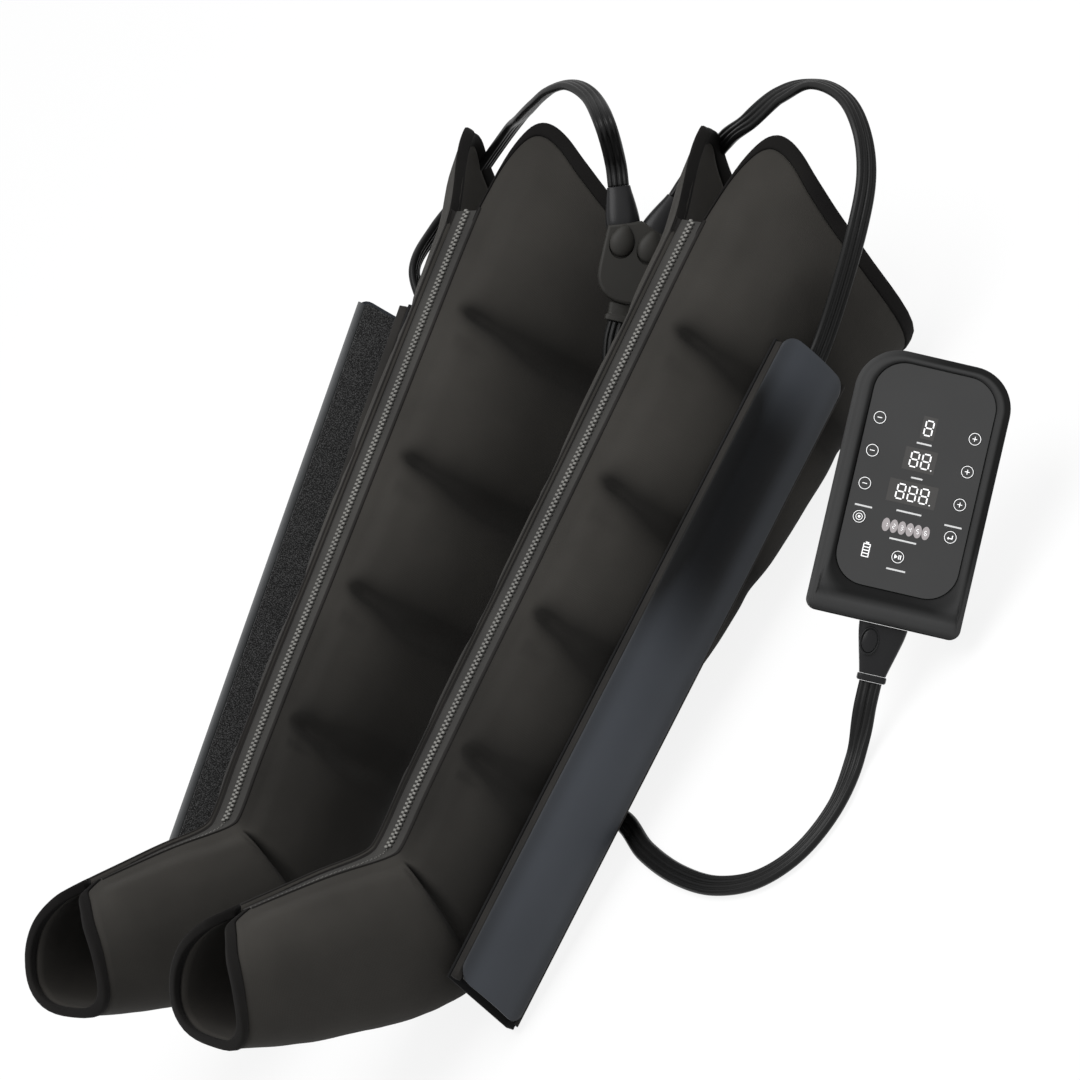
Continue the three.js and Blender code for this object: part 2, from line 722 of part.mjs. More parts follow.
function addSplitterPlug(name, sign) {
  const plug = taperedPlug([
    [13.6, 10, touchGap], [13.4, 9.8, 6], [11.4, 7.5, plugLength - 9], [10.4, 5.6, plugLength],
  ], 16);
  const mesh = piece(splitter, name, plug, 'plug');
  const seat = gableEave + gableRise * (1 - plugSpread / splitterHalf);
  mesh.position.set(sign * plugSpread, seat, -splitterDepth / 2);
  mesh.rotation.z = -sign * splitterLean;
  mesh.updateWorldMatrix(true, false);
  const start = new THREE.Vector3(0, plugLength + touchGap, 0).applyMatrix4(mesh.matrixWorld);
  const way = new THREE.Vector3(0, 1, 0).transformDirection(mesh.matrixWorld);
  return { start, way };
}
const rightPlug = addSplitterPlug('right_hose_plug', -1);
const leftPlug = addSplitterPlug('left_hose_plug', 1);

// The pump.
const pump = new THREE.Group();
pump.applyMatrix4(facingMatrix(pumpCentre));
pieces.add(pump);

function pumpOutline(inset) {
  const w = pumpWidth / 2 - inset;
  const h = pumpHeight / 2 - inset;
  const rt = pumpTopRadius - inset;
  const rb = Math.max(pumpBottomRadius - inset, 2);
  const shape = new THREE.Shape();
  shape.moveTo(-w + rb, -h);
  shape.lineTo(w - rb, -h);
  shape.absarc(w - rb, -h + rb, rb, -rightAngle, 0, false);
  shape.lineTo(w, h - rt);
  shape.absarc(w - rt, h - rt, rt, 0, rightAngle, false);
  shape.lineTo(-w + rt, h);
  shape.absarc(-w + rt, h - rt, rt, rightAngle, Math.PI, false);
  shape.lineTo(-w, -h + rb);
  shape.absarc(-w + rb, -h + rb, rb, Math.PI, Math.PI + rightAngle, false);
  return shape;
}

const pumpBlank = () => new THREE.ExtrudeGeometry(pumpOutline(0), {
  depth: pumpDepth - 2 * pumpBevel, bevelThickness: pumpBevel, bevelSize: pumpBevel,
  bevelOffset: -pumpBevel, bevelSegments: 2, curveSegments: 6,
}).translate(0, 0, -pumpDepth + pumpBevel);
const wide = 2 * pumpHeight;
const cavityFront = plate(pumpOutline(pumpWall), pumpDepth, 5).translate(0, 0, -pumpDepth - pumpFrontWall);
const cavityRear = plate(pumpOutline(pumpWall), pumpDepth, 5).translate(0, 0, -pumpDepth + pumpWall);
const panelShape = roundedRect(
  panelShift - panelWidth / 2, panelRise - panelHeight / 2,
  panelShift + panelWidth / 2, panelRise + panelHeight / 2, panelRadius,
);
const recess = plate(panelShape, 2 * recessDepth, 6).translate(0, 0, -recessDepth);
const midDepth = -pumpDepth / 2;
const socketWidth = 46;
const socketDepth = 22;
const socketLength = 22;
const socketCut = box(socketWidth + 2 * touchGap, 20, socketDepth + 2 * touchGap, 0, -pumpHeight / 2, midDepth);
const chargeY = -60;
const chargeCut = box(20, 12, 5, -pumpWidth / 2, chargeY, midDepth);
const frontHousing = cut(
  pumpBlank(), box(wide, wide, pumpDepth, 0, 0, -pumpFrontDepth - pumpDepth / 2),
  cavityFront, recess, socketCut, chargeCut,
);
piece(pump, 'pump_front_housing', frontHousing, 'shell');

const screwInset = 20.5;
const screwEndInset = 26.5;
const screwSpots = [[-1, 1], [1, 1], [1, -1], [-1, -1]]
  .map(([sx, sy]) => [sx * (pumpWidth / 2 - screwInset), sy * (pumpHeight / 2 - screwEndInset)]);
const screwHead = 3.1;
const screwShank = 1.5;
const screwCuts = screwSpots.flatMap(([x, y]) => [
  cylinderZ(screwHead + touchGap, 3, x, y, -pumpDepth, 12),
  cylinderZ(screwShank + touchGap, 12, x, y, -pumpDepth, 12),
]);
const rearCover = cut(
  pumpBlank(), box(wide, wide, pumpDepth, 0, 0, -pumpFrontDepth - touchGap + pumpDepth / 2),
  cavityRear, ...screwCuts,
);
piece(pump, 'pump_rear_cover', rearCover, 'shell');
const screwProfile = [
  [0, -pumpDepth + 0.3], [screwHead, -pumpDepth + 0.3], [screwHead, -pumpDepth + 1.2],
  [screwShank, -pumpDepth + 1.2],
  [screwShank, -pumpDepth + 8], [0, -pumpDepth + 8],
];
screwSpots.forEach(([x, y], i) => {
  const profile = screwProfile.map(([r, z]) => new THREE.Vector2(r, z));
  const turned = new THREE.LatheGeometry(profile, 10).rotateX(rightAngle);
  const screw = piece(pump, `housing_screw_${i + 1}`, turned, 'metal');
  screw.position.set(x, y, 0);
});

// Key centres from the face centre.
const keyInset = 11.3;
const keyLowInset = 12.9;
const keyTopInset = 49;
const keyEndInset = 29;
const keyPitchShare = 0.1487;
const keySide = panelWidth / 2 - keyInset;
const keyLowSide = panelWidth / 2 - keyLowInset;
const keyTopRow = panelRise + panelHeight / 2 - keyTopInset;
const keyPitch = panelHeight * keyPitchShare;
const keySpots = {
  mode_minus_key: [-keySide, keyTopRow], mode_plus_key: [keySide, keyTopRow],
  time_minus_key: [-keySide, keyTopRow - keyPitch], time_plus_key: [keySide, keyTopRow - keyPitch],
  pressure_minus_key: [-keySide, keyTopRow - 2 * keyPitch],
  pressure_plus_key: [keySide, keyTopRow - 2 * keyPitch],
  portion_key: [-keyLowSide, keyTopRow - 3 * keyPitch], confirm_key: [keyLowSide, keyTopRow - 3 * keyPitch],
  on_pause_key: [0, panelRise - panelHeight / 2 + keyEndInset],
};
const panelTop = -recessDepth + touchGap + panelThickness;
const panelPlate = plate(
  roundedRect(
    panelShift - panelWidth / 2 + touchGap, panelRise - panelHeight / 2 + touchGap,
    panelShift + panelWidth / 2 - touchGap, panelRise + panelHeight / 2 - touchGap, panelRadius - touchGap,
  ), panelThickness, 6,
).translate(0, 0, panelTop - panelThickness);
const keyHoles = Object.values(keySpots)
  .map(([x, y]) => cylinderZ(keyRadius + touchGap, 4 * panelThickness, x, y, panelTop, 18));
piece(pump, 'control_panel', cut(panelPlate, ...keyHoles), 'panel');
for (const [name, [x, y]] of Object.entries(keySpots)) {
  const key = piece(pump, name, cylinderZ(keyRadius, keyThickness, 0, 0, -keyThickness / 2, 18), 'key');
  key.position.set(x, y, panelTop + keyProud);
}

// What the pump holds, set in from the housing's sides and ends.
const inside = -pumpFrontWall;
const boardInset = 15.5;
const boardEndInset = 26.5;
const boardThickness = 1.6;
const boardDepth = 5.2;
const displayInset = 20.5;
const displayEndInset = 39.5;
const displayThickness = 4.6;
const displayRise = panelRise - 1.5;
const batteryInset = 20.5;
const batteryGap = 10;
const batteryDepth = 20;
const batteryCorner = 8;
const motorRadius = 12;
const motorLength = 44;
const headSide = 36;
const headDepth = 26;
const manifoldInset = 22.5;
const manifoldRun = 22;
const manifoldDepth = 20;
const manifoldEnd = 53.5;
const inner = pumpWidth / 2;
const displayHalf = panelWidth / 2 - displayInset;
const displayRun = panelHeight / 2 - displayEndInset;
piece(pump, 'display_module', box(
  2 * displayHalf, 2 * displayRun, displayThickness, 0, displayRise, inside - displayThickness / 2 - touchGap,
), 'rubber');
const boardFront = inside - boardDepth;
piece(pump, 'main_board', box(
  2 * (inner - boardInset), pumpHeight - 2 * boardEndInset, boardThickness, 0, 2, boardFront - boardThickness / 2,
), 'board');
const batteryTop = pumpHeight / 2 - batteryInset;
const batteryBase = headSide / 2 + batteryGap;
const seatedFront = boardFront - boardThickness - touchGap;
piece(pump, 'battery_pack', plate(
  roundedRect(batteryInset - inner, batteryBase, inner - batteryInset, batteryTop, batteryCorner),
  batteryDepth, 3,
).translate(0, 0, seatedFront - batteryDepth), 'battery');
piece(pump, 'air_pump_motor', new THREE.CylinderGeometry(motorRadius, motorRadius, motorLength, 20)
  .rotateZ(rightAngle).translate(-motorLength / 2, 0, seatedFront - motorRadius), 'metal');
piece(pump, 'air_pump_head', box(
  headSide, headSide, headDepth, headSide / 2 + 1, 0, seatedFront - headDepth / 2,
), 'rubber');
piece(pump, 'valve_manifold', box(
  2 * (inner - manifoldInset), manifoldRun, manifoldDepth,
  0, manifoldEnd + manifoldRun / 2 - pumpHeight / 2, seatedFront - manifoldDepth / 2,
), 'rubber');
piece(pump, 'hose_socket', box(
  socketWidth, socketLength, socketDepth, 0, (socketLength - pumpHeight) / 2, midDepth,
), 'rubber');
piece(pump, 'charging_socket', box(8, 11.4, 4.4, -pumpWidth / 2 + 4.4, chargeY, midDepth), 'metal');

// Pump plug, pointing down from the pump's lower edge.
const plugRun = 42;
const plugShift = 2.5;
const plugBlank = taperedPlug([
  [11.5, 7.5, -plugRun], [13, 8.5, -plugRun + 6], [19, 11, -10], [20.5, 11, -touchGap],
], 20).translate(plugShift, -pumpHeight / 2, midDepth);
const releaseSpot = [plugShift - 9, -pumpHeight / 2 - 15];
const releaseHalf = 6.2;
const releaseStretch = 1.6;
const releasePocket = cylinderZ(releaseHalf + touchGap, 8, 0, 0, 0, 16).scale(1, releaseStretch, 1)
  .translate(releaseSpot[0], releaseSpot[1], midDepth + 11.6);
piece(pump, 'pump_plug_body', cut(plugBlank, releasePocket), 'plug');
const releaseProfile = [[0, -1.2], [releaseHalf, -1.2], [releaseHalf, 1], [releaseHalf * 0.6, 2], [0, 2.4]]
  .map(([r, z]) => new THREE.Vector2(r, z));
const release = new THREE.LatheGeometry(releaseProfile, 16).rotateX(rightAngle).scale(1, releaseStretch, 1);
const releaseMesh = piece(pump, 'pump_plug_release', release, 'plug');
releaseMesh.position.set(releaseSpot[0], releaseSpot[1], midDepth + 10.8);
const collarRun = 6;
piece(pump, 'pump_plug_collar', taperedPlug([
  [11.6, 6.6, -plugRun - collarRun], [12.4, 7.4, -plugRun - collarRun + 1.5], [12.4, 7.4, -plugRun - touchGap],
], 16).translate(plugShift, -pumpHeight / 2, midDepth), 'rubber');

pieces.updateMatrixWorld(true);
function onGroup(group, x, y, z) {
  return new THREE.Vector3(x, y, z).applyMatrix4(group.matrixWorld);
}
function way(group, x, y, z) {
  return new THREE.Vector3(x, y, z).transformDirection(group.matrixWorld);
}

// The hose routes: place and face direction of each point.
const hoseEnd = onGroup(pump, plugShift, -pumpHeight / 2 - plugRun - collarRun - touchGap, midDepth);
const hoseWay = way(pump, 0, -1, 0);
const pumpFace = way(pump, 0, 0, 1);
const tailEnd = onGroup(splitter, 0, -52 - touchGap, -splitterDepth / 2);
const tailWay = way(splitter, 0, -1, 0);
const splitterFace = way(splitter, 0, 0, 1);

function row(place, face) {
  return [place.x, place.y, place.z, face.x, face.y, face.z];
}
function on(place, direction, run) {
  return place.clone().addScaledVector(direction, run);
}

const floorZ = 0.6;
const pumpHoseRoute = [
  row(hoseEnd, pumpFace), row(on(hoseEnd, hoseWay, hoseWidth), pumpFace),
  [450, 222, 4, 0.2, 0.2, 1], [454, 176, floorZ, 0, 0, 1], [441, 130, floorZ, 0, 0, 1], [410, 100, floorZ, 0, 0, 1],
  [363, 87, floorZ, 0, 0, 1], [309, 91, floorZ, 0, 0, 1], [250, 108, floorZ, 0, 0, 1], [195, 134, floorZ, 0, 0, 1],
  [120, 134, floorZ, 0, 0, 1], [50, 145, floorZ, 0, 0, 1], [10, 195, floorZ, 0, 0, 1], [0, 270, floorZ, 0, 0, 1],
  [-2, 350, floorZ + 4, 0, 0.1, 1], [-3, 430, 35, 0.1, -0.4, 1], [-2, 490, 82, 0.4, -0.5, 0.8],
  row(on(tailEnd, tailWay, hoseWidth), splitterFace), row(tailEnd, splitterFace),
];
piece(pieces, 'pump_hose', flatHose(pumpHoseRoute, 42), 'hose');

const leftHoseRoute = [
  row(leftPlug.start, splitterFace), row(on(leftPlug.start, leftPlug.way, hoseWidth), splitterFace),
  [50, 706, 160, 0.6, -0.2, 0.7], [90, 715, 181, 0.6, -0.2, 0.7], [130, 722, 197, 0.6, 0, 0.7],
  [167, 745, 206, 0.6, 0.2, 0.7], [208, 757, 206, 0.5, 0.6, 0.5], [246, 748, 198, 0.7, 0.6, 0.4],
  [274, 723, 186, 0.85, 0.4, 0.3], [288, 691, 170, 0.9, 0.2, 0.3], [291, 648, 153, 0.95, 0, 0.3],
  row(on(leftMouth.mouth, leftMouth.up, inletDrop + hoseThickness), leftMouth.out),
  row(on(leftMouth.mouth, leftMouth.up, hoseWidth), leftMouth.out), row(leftMouth.mouth, leftMouth.out),
];
piece(pieces, 'left_boot_hose', flatHose(leftHoseRoute, 34), 'hose');

const rightHoseRoute = [
  row(rightPlug.start, splitterFace), row(on(rightPlug.start, rightPlug.way, hoseWidth), splitterFace),
  [-5, 687, 236, 0.5, 0.1, 0.8], [-44, 715, 240, 0.4, 0.5, 0.7], [-81, 727, 240, 0, 0.6, 0.6],
  [-111, 726, 236, -0.3, 0.5, 0.7], [-147, 722, 222, -0.5, 0.4, 0.7], [-184, 719, 204, -0.6, 0.4, 0.6],
  [-217, 719, 187, -0.6, 0.5, 0.6], [-250, 704, 170, -0.7, 0.4, 0.6], [-274, 664, 160, -0.8, 0.2, 0.5],
  [-278, 612, 166, -0.8, 0, 0.5], [-264, 566, 172, -0.8, 0, 0.5],
  row(on(rightMouth.mouth, rightMouth.up, inletDrop + hoseThickness), rightMouth.out),
  row(on(rightMouth.mouth, rightMouth.up, inletDrop - hoseThickness), rightMouth.out),
  row(on(rightMouth.mouth, rightMouth.up, hoseWidth), rightMouth.out), row(rightMouth.mouth, rightMouth.out),
];
piece(pieces, 'right_boot_hose', flatHose(rightHoseRoute, 38), 'hose');

// The origin lies under the middle of the set, hoses and splitter left out.
const corded = [
  'pump_hose', 'left_boot_hose', 'right_boot_hose', 'splitter_body', 'splitter_tail', 'right_release_button',
  'left_release_button', 'right_hose_plug', 'left_hose_plug', 'pump_plug_body', 'pump_plug_release', 'pump_plug_collar',
];
const bounds = new THREE.Box3();
pieces.updateMatrixWorld(true);
pieces.traverse((mesh) => {
  if (mesh.isMesh && !corded.includes(mesh.name)) bounds.union(new THREE.Box3().setFromObject(mesh, true));
});
const middle = bounds.getCenter(new THREE.Vector3());
pieces.position.set(-middle.x, -middle.y, -bounds.min.z);
pieces.updateMatrixWorld(true);

export default pieces;
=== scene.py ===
"""Surfaces of an air-compression therapy set: two leg boots, their hoses and splitter, and the pump."""
import json
import math

import bmesh
import bpy
from mathutils import Matrix, Vector, noise

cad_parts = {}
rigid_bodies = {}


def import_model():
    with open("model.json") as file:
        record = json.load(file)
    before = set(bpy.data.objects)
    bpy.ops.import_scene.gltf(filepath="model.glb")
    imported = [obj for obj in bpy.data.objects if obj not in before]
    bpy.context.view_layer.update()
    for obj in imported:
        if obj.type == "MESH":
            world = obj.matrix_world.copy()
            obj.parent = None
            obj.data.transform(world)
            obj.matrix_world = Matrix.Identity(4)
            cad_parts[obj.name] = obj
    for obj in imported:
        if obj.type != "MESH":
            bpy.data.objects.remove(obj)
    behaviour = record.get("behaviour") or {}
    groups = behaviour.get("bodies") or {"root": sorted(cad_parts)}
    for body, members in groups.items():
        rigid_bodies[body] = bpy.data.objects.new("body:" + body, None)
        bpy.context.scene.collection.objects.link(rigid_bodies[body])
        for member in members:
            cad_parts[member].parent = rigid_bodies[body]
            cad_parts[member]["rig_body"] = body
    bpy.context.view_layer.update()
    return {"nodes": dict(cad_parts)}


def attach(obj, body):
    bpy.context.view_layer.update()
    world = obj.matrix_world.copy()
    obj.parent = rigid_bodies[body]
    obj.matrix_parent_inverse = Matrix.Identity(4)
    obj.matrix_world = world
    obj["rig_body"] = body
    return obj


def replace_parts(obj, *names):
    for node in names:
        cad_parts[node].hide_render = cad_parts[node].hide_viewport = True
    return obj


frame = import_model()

bl_info = {
    "name": "Compression Therapy Set Surfaces",
    "version": (1, 0, 0),
    "blender": (4, 5, 0),
    "location": "View3D > Sidebar > Therapy Set",
    "description": "Dresses the boots, hoses, splitter and pump of a compression therapy set",
    "category": "Object",
}

MAIN = "set"
SIDES = {"left": 1, "right": -1}

# The set's centre from the boots' own origin, the room between pieces that touch, and the sizes a user may change.
SET_SHIFT = Vector((-0.117739, -0.242307, 0.005458))
TOUCH_GAP = 0.0003
SIZES = {"puff": 0.0045, "crease_depth": 0.0085, "tooth_pitch": 0.0041, "print_height": 0.00016}

# Boots: lengths in metres, tables in shares of the span. A station has the front's
# Y and Z, the back's Y and Z and the half width; a column has its share of the way
# from the slit to the back, and the places where the rim and the toe's edge cross it.
SPAN = 0.8
BOOT_SPACING = 0.2418
BOOT_SPLAY = math.radians(3.976)
STATIONS = [
    [-0.2001, 0.3392, -0.2751, 0.238, 0.067], [-0.1443, 0.3003, -0.239, 0.187, 0.068],
    [-0.0961, 0.2646, -0.199, 0.138, 0.069], [-0.0519, 0.2318, -0.159, 0.093, 0.07],
    [-0.016, 0.203, -0.119, 0.055, 0.071], [0.002, 0.192, -0.076, 0.024, 0.072],
    [0.014, 0.191, -0.028, 0, 0.074], [0.035, 0.193, 0.03, 0.001, 0.077],
    [0.07, 0.198, 0.07, 0.016, 0.08], [0.118, 0.204, 0.118, 0.02, 0.084],
    [0.21, 0.215, 0.21, 0.012, 0.091], [0.31, 0.226, 0.31, 0.002, 0.098],
    [0.41, 0.238, 0.41, -0.004, 0.105], [0.51, 0.25, 0.51, -0.006, 0.111],
    [0.61, 0.262, 0.61, -0.006, 0.117], [0.71, 0.274, 0.71, -0.004, 0.122],
    [0.81, 0.284, 0.81, -0.002, 0.126], [0.9, 0.293, 0.9, 0, 0.129],
]
STATION_TABLE = [[row[k] * SPAN for row in STATIONS] for k in range(5)]
COLUMNS = [0, 0.025, 0.055, 0.09, 0.135, 0.19, 0.26, 0.36, 0.49, 0.65, 0.82, 1]
RIM = [0.757, 0.822, 0.857, 0.874, 0.877, 0.87, 0.854, 0.834, 0.816, 0.802, 0.793, 0.793]
TOE = [1, 0.8, 0.62, 0.56, 0.5, 0.42, 0.33, 0.24, 0.14, 0.05, 0, 0]
CREASES = [5.3, 9.16, 10.84, 12.43, 14.23]
CREASE_SPREAD = 0.3
SEAM_START = 0.06
LAST_COLUMN = len(COLUMNS) - 1
TOP_STATION = 17
ANKLE_STATION = 5.75
TOE_BLEND = 2
RIM_BLEND = 14
TOP_PITCH = 0.095 * SPAN
TOE_PITCH = 0.066 * SPAN
LEG_SLIT_HALF = 0.018
TOE_SLIT_HALF = 0.008
EGG_SHARE = 0.2
FULL_BACK_SHARE = 0.1
LOBE_FLARE = 0.026
LOBE_FALL = (15.2, 16.5)
LOBE_RISE = 0.34
COVER_WALL = 0.0075
BINDING_DEPTH = 0.009
BINDING_WIDTH = 0.014
TOE_BINDING_WIDTH = 0.009
BINDING_SWELL = 0.0012
BINDING_GAP = 0.0006
RIM_TRIM = (BINDING_WIDTH + BINDING_GAP) / TOP_PITCH
TOE_TRIM = (TOE_BINDING_WIDTH + BINDING_GAP) / TOE_PITCH
ROW_STEP = 0.16
ROW_ROOM = 0.07
COVER_CLOTH = (0.56, 0.95)
COLUMN_STEPS = 5
BINDING_STEPS = 4

# Rows of a boot's cover on both sides of a seam, closer together than the others.
CREASE_STEPS = (0, 0.05, 0.1, 0.15, 0.21, 0.28, 0.36, 0.46, 0.58)
# Half section of a bound edge: how far back from the rim, as a share of its
# width, and how deep, as a share of the wall with the swell added outside it.
BINDING_SECTION = [
    (1.0, 0.1, 0), (0.985, 0, -0.1), (0.95, 0, -0.8), (0.86, 0, -1.1), (0.6, 0, -1.2), (0.3, 0, -1.2), (0.12, 0, -0.9),
    (0.02, 0.12, 0), (0, 0.35, 0), (0, 0.65, 0), (0.02, 0.88, 0), (0.12, 1, 0.5), (0.3, 1, 0.8), (0.6, 1, 0.7),
    (0.9, 1, 0.2), (1.0, 0.9, 0),
]
# Section of the bound edge along the slit: share of its width from the slit, and depth in metres.
WELT_SECTION = [
    (1, 0.0004), (0.97, -0.0005), (0.88, -0.001), (0.6, -0.0013), (0.3, -0.0013), (0.1, -0.001), (-0.03, -0.0003),
    (-0.08, 0.0006), (-0.08, 0.003), (-0.08, 0.0055), (-0.03, 0.0064), (0.15, 0.0064), (0.15, 0.0016), (0.6, 0.0016),
    (0.96, 0.0014),
]

# Zipper: the tape, and how far a tooth stands beside the middle with its width, length and height.
TAPE_INSET = 0.0032
TAPE_THICKNESS = 0.0012
TAPE_CLOTH = 0.0007
TAPE_MARGIN = 0.0006
TAPE_STEPS = 12
TOOTH_SINK = 0.0002
TOOTH_BEVEL = 0.0003
SLIT_CLOTH = (0.03, 0.85)
LEG_TOOTH = (0.0019, (0.0036, 0.0022, 0.0018))
FOOT_TOOTH = (0.0006, (0.001, 0.001, 0.0008))
FOOT_PITCH = 0.0046

# Hose channels on the outer side of each boot.
CHANNEL_WIDTH = 0.071
CHANNELS = {
    "left": {"top": (0.117, 0.547, 0.073), "bottom": (0.098, -0.067, 0.0034),
             "across": (-0.16, 0.987), "slant": 0.182, "open": 0.0},
    "right": {"top": (0.112, 0.538, 0.1246), "bottom": (0.101, -0.06, 0.029),
              "across": (-0.42, 0.907), "slant": 0.1, "open": math.radians(45)},
}
FLAP_THICKNESS = 0.0024
FLAP_CORNER = 0.013
FLAP_BOW = {"left": 0.0085, "right": 0.002}
FLAP_CLOTH = FLAP_THICKNESS * 0.75
FLAP_ROUND = 0.0006
FOLD_RADIUS = 0.002
FOLD_SIDES = 14
HOOK_THICKNESS = 0.0014
HOOK_ROUND = 0.0003
HOOK_CORNER = 0.002
CHANNEL_TOP = FLAP_THICKNESS + HOOK_THICKNESS + TOUCH_GAP + 0.0096
CHANNEL_DEPTH = CHANNEL_TOP + TOUCH_GAP + 0.003
CHANNEL_WALL = 0.0024
OPEN_EDGING_ROOM = 0.0024
STRIP_STEPS = 80
PRESS_MARGIN = 0.04
PRESS_FADE = 0.074
PRESS_ROOM = 0.0004

# Pump and splitter.
PUMP_CENTRE = Vector((0.4854, 0.4179, 0.1093)) + SET_SHIFT
SPLITTER_CENTRE = Vector((0.0068, 0.6008, 0.1477)) + SET_SHIFT
FACE_AZIMUTH = math.radians(70)
FACE_ELEVATION = math.radians(32.1)
FACE_ROLL = math.radians(-62.5)
PUMP_WIDTH = 0.129
PUMP_HEIGHT = 0.225
PUMP_DEPTH = 0.05
PANEL_MIDDLE = (0.0008, 0.0095)
PANEL_SIZE = (0.103, 0.187)
PANEL_SEAT = 0.0034
PANEL_CORNER = 0.026
PANEL_TOP = -PANEL_SEAT + TOUCH_GAP + 0.0018
CASE_WALL = 0.0024
CASE_CORNERS = (0.035, 0.009)
CORNER_STEPS = 14
BEVEL = 0.004
BEVEL_STEPS = 5
GROOVE_ROUND = 0.001
GROOVE_STEPS = 4
FRAME_DIP = 0.0022
FRAME_FALL = 0.0014
FRAME_CREST = 0.45
FRAME_STEPS = 10
LIP_ROUND = 0.012
PLUG_SHIFT = 0.0025
PLUG_RUN = 0.042
COLLAR_RUN = 0.006
PLUG_LENGTH = 0.033
PLUG_SPREAD = 0.0155
SPLITTER_DEPTH = 0.024
SPLITTER_HALF = 0.028
SPLITTER_TAIL = 0.052
SPLITTER_LEAN = math.radians(20)
GABLE_EAVE = 0.029
PLUG_STEPS = 48
PLUG_ROUND = 0.0006
DOME_PLACE = (0.0125, 0.0165, -0.0018)
DOME_WIDTH = 0.0113
DOME_REACH = (0.0165, 0.0125)
DOME_HEIGHT = 0.0064
DOME_FOOT = 0.0004
RING_PLACE = (-0.0065, -PUMP_HEIGHT / 2 - 0.015, -PUMP_DEPTH / 2 + 0.0104)
RING_RADIUS = 0.0074
RING_STRETCH = 1.5
RING_WIDTH = 0.0008
RING_RISE = 0.0009
SOCKET_CUT = (0.0466, 0.02, 0.0226)
CHARGING_CUT = (0.02, 0.012, 0.005)
CHARGING_Y = -0.06

# Hoses: width and thickness, then the points of each route before the shift, with the
# direction that the broad face looks in. A point of two numbers lies on the floor, face up.
HOSE_WIDTH = 0.019
HOSE_THICKNESS = 0.008
HOSE_STEPS = 80
HOSE_RIBS = 4
VALLEY = 0.45
LANE_SHARE = 0.45
LANE_RUN = 0.07
LANE_DEPTH = 0.0048
INLET_DROP = 0.062
FLOOR_Z = 0.0006
PUMP_HOSE_POINTS = [
    (0.45, 0.222, 0.004, 0.2, 0.2, 1), (0.454, 0.176), (0.441, 0.13), (0.41, 0.1), (0.363, 0.087), (0.309, 0.091),
    (0.25, 0.108), (0.195, 0.134), (0.12, 0.134), (0.05, 0.145), (0.01, 0.195), (0, 0.27),
    (-0.002, 0.35, FLOOR_Z + 0.004, 0, 0.1, 1), (-0.003, 0.43, 0.035, 0.1, -0.4, 1),
    (-0.002, 0.49, 0.082, 0.4, -0.5, 0.8),
]
LEFT_HOSE_POINTS = [
    (0.05, 0.706, 0.16, 0.6, -0.2, 0.7), (0.09, 0.715, 0.181, 0.6, -0.2, 0.7), (0.13, 0.722, 0.197, 0.6, 0, 0.7),
    (0.167, 0.745, 0.206, 0.6, 0.2, 0.7), (0.208, 0.757, 0.206, 0.5, 0.6, 0.5), (0.246, 0.748, 0.198, 0.7, 0.6, 0.4),
    (0.274, 0.723, 0.186, 0.85, 0.4, 0.3), (0.288, 0.691, 0.17, 0.9, 0.2, 0.3), (0.291, 0.648, 0.153, 0.95, 0, 0.3),
]
RIGHT_HOSE_POINTS = [
    (-0.005, 0.687, 0.236, 0.5, 0.1, 0.8), (-0.044, 0.715, 0.24, 0.4, 0.5, 0.7), (-0.081, 0.727, 0.24, 0, 0.6, 0.6),
    (-0.111, 0.726, 0.236, -0.3, 0.5, 0.7), (-0.147, 0.722, 0.222, -0.5, 0.4, 0.7),
    (-0.184, 0.719, 0.204, -0.6, 0.4, 0.6), (-0.217, 0.719, 0.187, -0.6, 0.5, 0.6),
    (-0.25, 0.704, 0.17, -0.7, 0.4, 0.6), (-0.274, 0.664, 0.16, -0.8, 0.2, 0.5), (-0.278, 0.612, 0.166, -0.8, 0, 0.5),
    (-0.264, 0.566, 0.172, -0.8, 0, 0.5),
]

# Keys of the panel: place and sign.
KEY_TOP = PANEL_TOP + 0.0003
KEY_RING = (0.0051, 0.00045)
PORTION_RING = (0.0029, 0.0005)
KEY_SIDE, KEY_LOW_SIDE, KEY_ROW, KEY_PITCH = 0.0402, 0.0386, 0.054, 0.0278
KEYS = {f"{what}_{sign}": (side * KEY_SIDE, KEY_ROW - row * KEY_PITCH, sign)
        for row, what in enumerate(("mode", "time", "pressure")) for side, sign in ((-1, "minus"), (1, "plus"))}
KEYS |= {"portion": (-KEY_LOW_SIDE, KEY_ROW - 3 * KEY_PITCH, "portion"),
         "confirm": (KEY_LOW_SIDE, KEY_ROW - 3 * KEY_PITCH, "confirm"), "on_pause": (0, -0.055, "play")}

# The panel's prints: windows and bars as place and size, figures as places.
WINDOWS = [(0.0013, 0.0541, 0.012, 0.019), (-0.0001, 0.0266, 0.027, 0.019), (0, -0.0016, 0.041, 0.019)]
FIGURE_SPOTS = [(0.0013, 0.0541), (-0.0047, 0.0266), (0.0049, 0.0266), (-0.0098, -0.0016), (0, -0.0016),
                (0.0098, -0.0016)]
POINT_SPOTS = [(0.0106, 0.0203), (0.0157, -0.0079)]
LABEL_BARS = [(0.0003, 0.0406, 0.0125), (0.0008, 0.0116, 0.0095), (0.0008, -0.0174, 0.021), (0.0011, -0.0411, 0.0225),
              (-0.037, -0.0201, 0.0145), (0.0388, -0.0204, 0.0145), (0.0008, -0.0659, 0.016)]
LABEL_HEIGHT = 0.0014
FIGURE_LIFT = 0.00012
LAMP_ROW = (0.0013, -0.0309, 0.0067)
CHARGE_SIGN = (-0.0269, -0.0553)
# Lit segments of each figure: bars from the bottom up, then left low, left high, right low, right high.
FIGURES = {1: "56", 2: "01236", 3: "01256", 4: "1456", 5: "01245", 6: "012345", 8: "0123456"}

